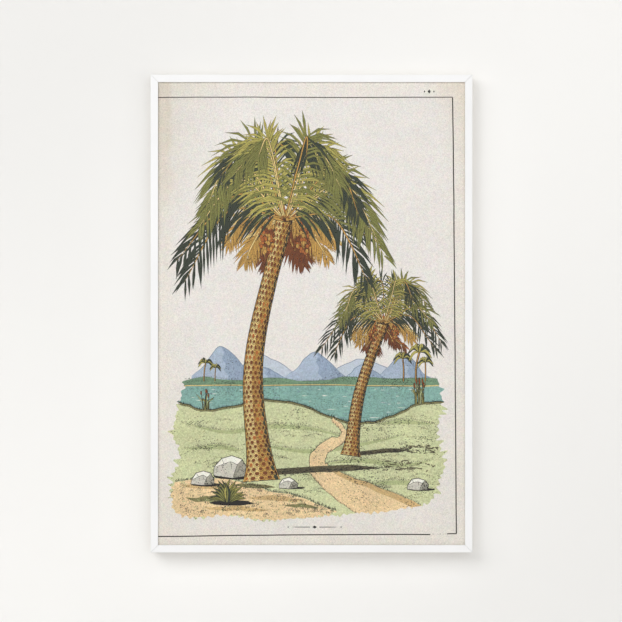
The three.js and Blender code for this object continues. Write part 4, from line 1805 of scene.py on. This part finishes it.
def geometry_tree(name: str, sizes: dict[str, float]) -> tuple[Nodes, bpy_prop_collection, str]:
    """Start a geometry tree with a geometry, a material and a named input for each size.

    Args:
        name: The tree's name.
        sizes: Each size's name and usual value.

    Returns:
        The nodes, the inputs' outlets by name, and the identifier of the material's input.
    """
    tree = bpy.data.node_groups.new(name, "GeometryNodeTree")
    face = tree.interface
    face.new_socket("Geometry", in_out="INPUT", socket_type="NodeSocketGeometry")
    finish = face.new_socket("Finish", in_out="INPUT", socket_type="NodeSocketMaterial")
    for title, value in sizes.items():
        face.new_socket(title, in_out="INPUT", socket_type="NodeSocketFloat").default_value = value
    face.new_socket("Geometry", in_out="OUTPUT", socket_type="NodeSocketGeometry")
    nodes = Nodes(tree)
    return nodes, nodes.add("NodeGroupInput").outputs, finish.identifier


def end_tree(nodes: Nodes, made: NodeSocket, finish: NodeSocket) -> None:
    """End a geometry tree: turn what it set out into a plain mesh, and give that its finish.

    Args:
        nodes: The tree's nodes.
        made: All that it made.
        finish: The material's input.
    """
    real = nodes.add("GeometryNodeRealizeInstances", {0: made})
    done = nodes.add("GeometryNodeSetMaterial", {"Geometry": real.outputs[0], "Material": finish})
    nodes.add("NodeGroupOutput", {0: done.outputs[0]})


def grown(carrier: Object, nodes: Nodes, finish: tuple[str, Material]) -> Mesh:
    """Run a geometry tree on an object, and return the plain mesh that it makes.

    Args:
        carrier: The object that the tree reads. It is removed.
        nodes: The tree.
        finish: The identifier of the material's input, and the material.

    Returns:
        The mesh.
    """
    modifier = carrier.modifiers.new("grow", "NODES")
    modifier.node_group = nodes.tree
    modifier[finish[0]] = finish[1]
    return applied(carrier)


@dataclass
class FramersPoints:
    """The flat steel points that hold the stack in, each with a rounded tip and a pressed rib."""

    rib_height: float = 0.4 * MM
    rib_width: float = 1.5 * MM
    rib_ends: Pair = (0.45, 0.75)  # shares of half the length between which the rib ends
    rows: int = 30
    columns: int = 13
    crowding: float = 1.7  # how strongly the rows gather towards the tip
    smooth: float = 40.0  # degrees up to which two faces look like one

    def tree(self, width: float, length: float, thickness: float) -> tuple[Nodes, str]:
        """Make the tree that bends a flat grid into a point and sets one at each place.

        Args:
            width: A point's width.
            length: Its length.
            thickness: Its thickness.

        Returns:
            The nodes, and the identifier of the material's input.
        """
        sizes = {"Width": width, "Length": length, "Thickness": thickness,
                 "Rib height": self.rib_height, "Rib width": self.rib_width}
        nodes, given, finish = geometry_tree("framer's points", sizes)
        grid = nodes.add("GeometryNodeMeshGrid", {"Size X": given["Width"], "Size Y": given["Length"],
                                                  "Vertices X": self.columns, "Vertices Y": self.rows})
        place = nodes.add("GeometryNodeInputPosition").outputs[0]
        x, y, _ = nodes.add("ShaderNodeSeparateXYZ", {0: place}).outputs
        share = nodes.maths("ADD", nodes.maths("DIVIDE", y, given["Length"]), 0.5)
        crowded = nodes.maths("SUBTRACT", nodes.maths("POWER", share, self.crowding), 0.5)
        y = nodes.maths("MULTIPLY", crowded, given["Length"])
        half_width, half_length = (nodes.maths("MULTIPLY", given[way], 0.5) for way in ("Width", "Length"))
        past = nodes.maths("SUBTRACT", nodes.maths("SUBTRACT", half_width, half_length), y)
        tip = nodes.maths("DIVIDE", nodes.maths("MAXIMUM", past, 0.0), half_width)
        left_over = nodes.maths("SUBTRACT", 1.0, nodes.maths("MULTIPLY", tip, tip))
        narrow = nodes.maths("SQRT", nodes.maths("MAXIMUM", left_over, 0.0))
        ridge = nodes.fading(nodes.maths("ABSOLUTE", x), 0.0, given["Rib width"])
        limits = (nodes.maths("MULTIPLY", half_length, end) for end in self.rib_ends)
        ends = nodes.fading(nodes.maths("ABSOLUTE", y), *limits)
        rise = nodes.maths("MULTIPLY", nodes.maths("MULTIPLY", ridge, ends), given["Rib height"])
        shape = nodes.add("ShaderNodeCombineXYZ", {0: nodes.maths("MULTIPLY", x, narrow), 1: y, 2: rise})
        strip = nodes.add("GeometryNodeSetPosition", {
            "Geometry": grid.outputs[0], "Position": shape.outputs[0]}).outputs[0]
        upper = nodes.add("GeometryNodeExtrudeMesh", {
            "Mesh": strip, "Offset Scale": given["Thickness"], "Individual": False}).outputs[0]
        lower = nodes.add("GeometryNodeFlipFaces", {"Mesh": strip}).outputs[0]
        closed = nodes.add("GeometryNodeMergeByDistance", {
            "Geometry": nodes.joined(upper, lower), "Distance": SAME_PLACE})
        turn = nodes.add("GeometryNodeInputNamedAttribute", {"Name": "turn"}, data_type="FLOAT_VECTOR")
        turned = nodes.add("FunctionNodeEulerToRotation", {0: turn.outputs[0]})
        set_out = nodes.add("GeometryNodeInstanceOnPoints", {
            "Points": given["Geometry"], "Instance": closed.outputs[0], "Rotation": turned.outputs[0]})
        end_tree(nodes, set_out.outputs[0], given["Finish"])
        return nodes, finish

    def build(self, steel: Material) -> Object:
        """Set a point in each of its places.

        Args:
            steel: The points' finish.

        Returns:
            The points, as one piece.
        """
        nodes = [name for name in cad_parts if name.startswith("point_")]
        places, turns = [], []
        for name in nodes:
            low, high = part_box(name)
            inward = Vector(Inward[name.split("_")[1]].value)
            back = Vector((0, 1, 0))
            across = (-inward).cross(back)
            turns.append(Matrix((across, -inward, back)).transposed().to_euler())
            places.append(Vector(((low.x + high.x) / 2, low.y, (low.z + high.z) / 2)))
        size = high - low
        width, length = sorted((size.x, size.z))
        mesh = bpy.data.meshes.new("places of the points")
        mesh.from_pydata(places, [], [])
        mesh.attributes.new("turn", "FLOAT_VECTOR", "POINT").data.foreach_set("vector", np.ravel(turns))
        tree, finish = self.tree(width, length, size.y)
        made = grown(shown("places of the points", mesh), tree, (finish, steel))
        made.shade_smooth()
        made.set_sharp_from_angle(angle=math.radians(self.smooth))
        points = shown("framers_points", made)
        settle(points, "zinc_steel", *nodes)
        return points


@dataclass
class FeltPads:
    """The felt pads on the bottom rail, rounded and fuzzy."""

    nodes: tuple[str, ...] = ("pad_left", "pad_right")
    rounding: float = 0.5 * MM
    smooth: float = 60.0  # degrees up to which two faces look like one
    fibre: float = 0.75 * MM
    fibre_width: float = 0.035 * MM
    per_square_metre: float = 3.0e6
    least_turn: Triple = (0.7, -0.5, 0.0)  # of a fibre out of upright, in radians
    most_turn: Triple = (1.45, 0.5, 6.28)

    def tree(self) -> tuple[Nodes, str]:
        """Make the tree that covers a pad with short lying fibres.

        Returns:
            The nodes, and the identifier of the material's input.
        """
        sizes = {"Length": self.fibre, "Width": self.fibre_width, "Density": self.per_square_metre}
        nodes, given, finish = geometry_tree("felt fibres", sizes)
        roots = nodes.add("GeometryNodeDistributePointsOnFaces",
                          {"Mesh": given["Geometry"], "Density": given["Density"], "Seed": SEED})
        sizes = {"Vertices": 3, "Radius Top": 0.0, "Radius Bottom": given["Width"], "Depth": given["Length"]}
        hair = nodes.add("GeometryNodeMeshCone", sizes, fill_type="NONE")
        turns = {0: self.least_turn, 1: self.most_turn, "Seed": SEED}
        tilt = nodes.add("FunctionNodeRandomValue", turns, data_type="FLOAT_VECTOR")
        leaning = nodes.add("FunctionNodeEulerToRotation", {0: tilt.outputs[0]})
        turns = {0: roots.outputs["Rotation"], 1: leaning.outputs[0]}
        turned = nodes.add("FunctionNodeRotateRotation", turns, rotation_space="LOCAL")
        set_out = nodes.add("GeometryNodeInstanceOnPoints", {
            "Points": roots.outputs[0], "Instance": hair.outputs[0], "Rotation": turned.outputs[0]})
        end_tree(nodes, nodes.joined(set_out.outputs[0], given["Geometry"]), given["Finish"])
        return nodes, finish

    def build(self, felt: Material) -> list[Object]:
        """Round each pad, and cover it with fibres.

        Args:
            felt: The pads' finish.

        Returns:
            The pads.
        """
        tree, finish = self.tree()
        pads = []
        for node in self.nodes:
            form = joined_copy(node)
            soften(form, self.rounding, 3)
            bmesh.ops.triangulate(form, faces=form.faces)
            body = finished(form, f"plain {node}", self.smooth)
            pad = shown(f"felt_{node}", grown(body, tree, (finish, felt)))
            settle(pad, "felt", node)
            pads.append(pad)
        return pads


@dataclass
class SteelFittings:
    """The sawtooth hanger, with its edges broken, its nails, and the V-nails in the mitres."""

    broken: float = 0.08 * MM
    smooth_strip: float = 35.0  # degrees up to which two faces of the hanger look like one
    smooth_nail: float = 40.0  # and two of a nail

    def build(self, shop: Workshop) -> list[Object]:
        """Make the fittings.

        Args:
            shop: The shared groups.

        Returns:
            The pieces that replace nodes.
        """
        along = ZincSteel("zinc steel strip").material(shop)
        form = joined_copy("hanger")
        soften(form, self.broken, 2)
        pieces = [finished(form, "sawtooth_hanger", self.smooth_strip)]
        nodes = ["hanger", "hanger_nail_left", "hanger_nail_right"]
        pieces += [finished(joined_copy(node), f"steel_{node}", self.smooth_nail) for node in nodes[1:]]
        for piece, node in zip(pieces, nodes):
            piece.data.materials.append(along)
            settle(piece, "zinc_steel", node)
        upright = ZincSteel("zinc steel V-nails", (1.0, 0.12, 1.0)).material(shop)
        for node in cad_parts:
            if node.startswith("v_nail_"):
                dress(node, upright)
        return pieces


# ---- The studio ----

@dataclass(frozen=True)
class SoftLight:
    """A rectangular soft box, aimed at one point or turned square to the wall."""

    name: str
    place: Triple
    width: float
    height: float
    power: float
    colour: Triple = (1.0, 1.0, 1.0)
    aim: Triple | None = None

    def build(self) -> None:
        """Set the light up, out of the camera's sight."""
        lamp = bpy.data.lights.new(self.name, "AREA")
        lamp.shape = "RECTANGLE"
        lamp.energy, lamp.size, lamp.size_y, lamp.color = self.power, self.width, self.height, self.colour
        light = shown(self.name, lamp)
        light.location = self.place
        facing = Vector((0.0, 1.0, 0.0)) if self.aim is None else Vector(self.aim) - light.location
        light.rotation_euler = facing.to_track_quat("-Z", "Y").to_euler()
        light.visible_camera = False


@dataclass
class Studio:
    """A pale wall with painted light and shade, a floor, soft light and the camera."""

    middle: Vector
    front: float
    span: float = 797.4 * MM  # what the view spans at the frame's front
    lens: float = 100.0  # the camera's, in millimetres, like its sensor
    sensor: float = 36.0
    sight: float = 50.0  # how far away the camera still sees
    aside: float = -0.7 * MM
    above: float = 3.3 * MM
    wall: float = 1.0 * MM  # behind the plane that the frame hangs on
    reach: float = 4.0
    drop: float = 1.3
    paint: Triple = (0.8475, 0.8393, 0.8204)
    brighter_right: float = 0.01  # painted light: how the wall's tone changes from the middle of the view to its edge
    # painted shade: how the wall's tone darkens upwards
    painted_shade_up: float = -0.021
    painted_shade_twist: float = 0.046  # painted shade: how much less it darkens upwards at the right edge
    floor_reach: float = 2.6
    floor_paint: Rgba = (0.80, 0.79, 0.77, 1.0)
    room: Rgba = (1.0, 0.99, 0.97, 1.0)
    ambient: float = 0.02
    backdrop_tone: float = 0.7  # of the empty room, where the wall doesn't hide it

    def build(self) -> None:
        """Set the studio up."""
        self.place_camera()
        self.place_wall()
        self.place_floor()
        self.light_up()

    def place_camera(self) -> None:
        """Set the camera up square to the wall."""
        camera = bpy.data.cameras.new("camera")
        camera.lens, camera.sensor_width, camera.clip_end = self.lens, self.sensor, self.sight
        away = self.span * self.lens / self.sensor
        viewer = shown("camera", camera)
        viewer.location = (self.middle.x + self.aside, self.front - away, self.middle.z + self.above)
        viewer.rotation_euler = (math.pi / 2, 0, 0)
        bpy.context.scene.camera = viewer

    def backdrop(self, name: str, near: Pair, far: Pair, material: Material) -> None:
        """Put up one flat backdrop.

        Args:
            name: Its name.
            near: Where its lower or nearer edge lies, along Y and Z.
            far: Where the edge across from that one lies.
            material: Its finish.
        """
        mesh = bpy.data.meshes.new(name)
        corners = [(-self.reach, *near), (self.reach, *near), (self.reach, *far), (-self.reach, *far)]
        mesh.from_pydata(corners, [], [(0, 1, 2, 3)])
        mesh.materials.append(material)
        shown(name, mesh)

    def place_wall(self) -> None:
        """Put up the wall, which shows from the front only, stops no light from behind and has painted light
        and shade.
        """
        material, nodes, shader = Workshop.start("pale wall")
        nodes.tree.nodes.remove(shader)
        x, _, z = nodes.add("ShaderNodeSeparateXYZ", {0: nodes.places()}).outputs
        across = nodes.ranged(x, -self.span / 2, self.span / 2, -1.0, 1.0)
        up = nodes.ranged(z, self.middle.z - self.span / 2, self.middle.z + self.span / 2, -1.0, 1.0)
        # painted light and shade: the paint is brighter to the right and darker upwards
        upwards = nodes.maths("MULTIPLY_ADD", across, self.painted_shade_twist, self.painted_shade_up)
        sideways = nodes.maths("MULTIPLY_ADD", across, self.brighter_right, 1.0)
        tone = nodes.maths("MULTIPLY_ADD", up, upwards, sideways)
        front = nodes.add("ShaderNodeBsdfDiffuse", {"Color": nodes.scaled(self.paint, tone)})
        clear = nodes.add("ShaderNodeBsdfTransparent")
        behind = nodes.add("ShaderNodeNewGeometry").outputs["Backfacing"]
        passing = nodes.add("ShaderNodeLightPath").outputs["Is Shadow Ray"]
        nodes.blend(nodes.maths("MAXIMUM", behind, passing), front, clear)
        low, high = self.middle.z - self.drop, self.middle.z + self.reach
        self.backdrop("wall", (self.wall, low), (self.wall, high), material)

    def place_floor(self) -> None:
        """Lay the floor below the frame."""
        material, nodes, shader = Workshop.start("pale floor")
        nodes.give(shader, Base_Color=self.floor_paint, Roughness=0.9)
        level = self.middle.z - self.drop
        self.backdrop("floor", (-self.floor_reach, level), (self.wall, level), material)

    def light_up(self) -> None:
        """Light the front from the upper left, and the back softly."""
        world = bpy.data.worlds.new("pale room")
        world.use_nodes = True
        nodes = Nodes(world.node_tree)
        seen = nodes.add("ShaderNodeLightPath").outputs["Is Camera Ray"]
        strength = nodes.maths("MULTIPLY_ADD", seen, self.backdrop_tone - self.ambient, self.ambient)
        nodes.give(world.node_tree.nodes["Background"], Color=self.room, Strength=strength)
        bpy.context.scene.world = world
        level, aim = self.middle.z, (self.middle.x, 0.0, self.middle.z)
        SoftLight("upper left", (-3.37, -2.7, level + 2.16), 5.1, 2.7, 148.0).build()
        SoftLight("wide front", (1.89, -2.7, level + 1.11), 8.1, 4.8, 145.0).build()
        SoftLight("back", (1.4, 1.9, level + 1.3), 1.6, 1.6, 60.0, aim=aim).build()
        bpy.context.scene.view_settings.view_transform = "Standard"


def main() -> None:
    """Build the framed print and its studio, in order."""
    logging.basicConfig(level=logging.INFO, format="%(name)s: %(message)s")
    low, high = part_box("glazing")
    middle = (low + high) / 2
    Studio(middle, front=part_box("rail_top")[0].y).build()
    shop = Workshop()
    PrintedSheet().build(shop)
    Surround().build(shop)
    dress("glazing", ClearAcrylic().material())
    dress("backing_board", Fibreboard().material(shop))
    FramersPoints().build(ZincSteel("zinc steel points").material(shop))
    SteelFittings().build(shop)
    FeltPads().build(Felt().material(shop))


if __name__ == "__main__":
    main()
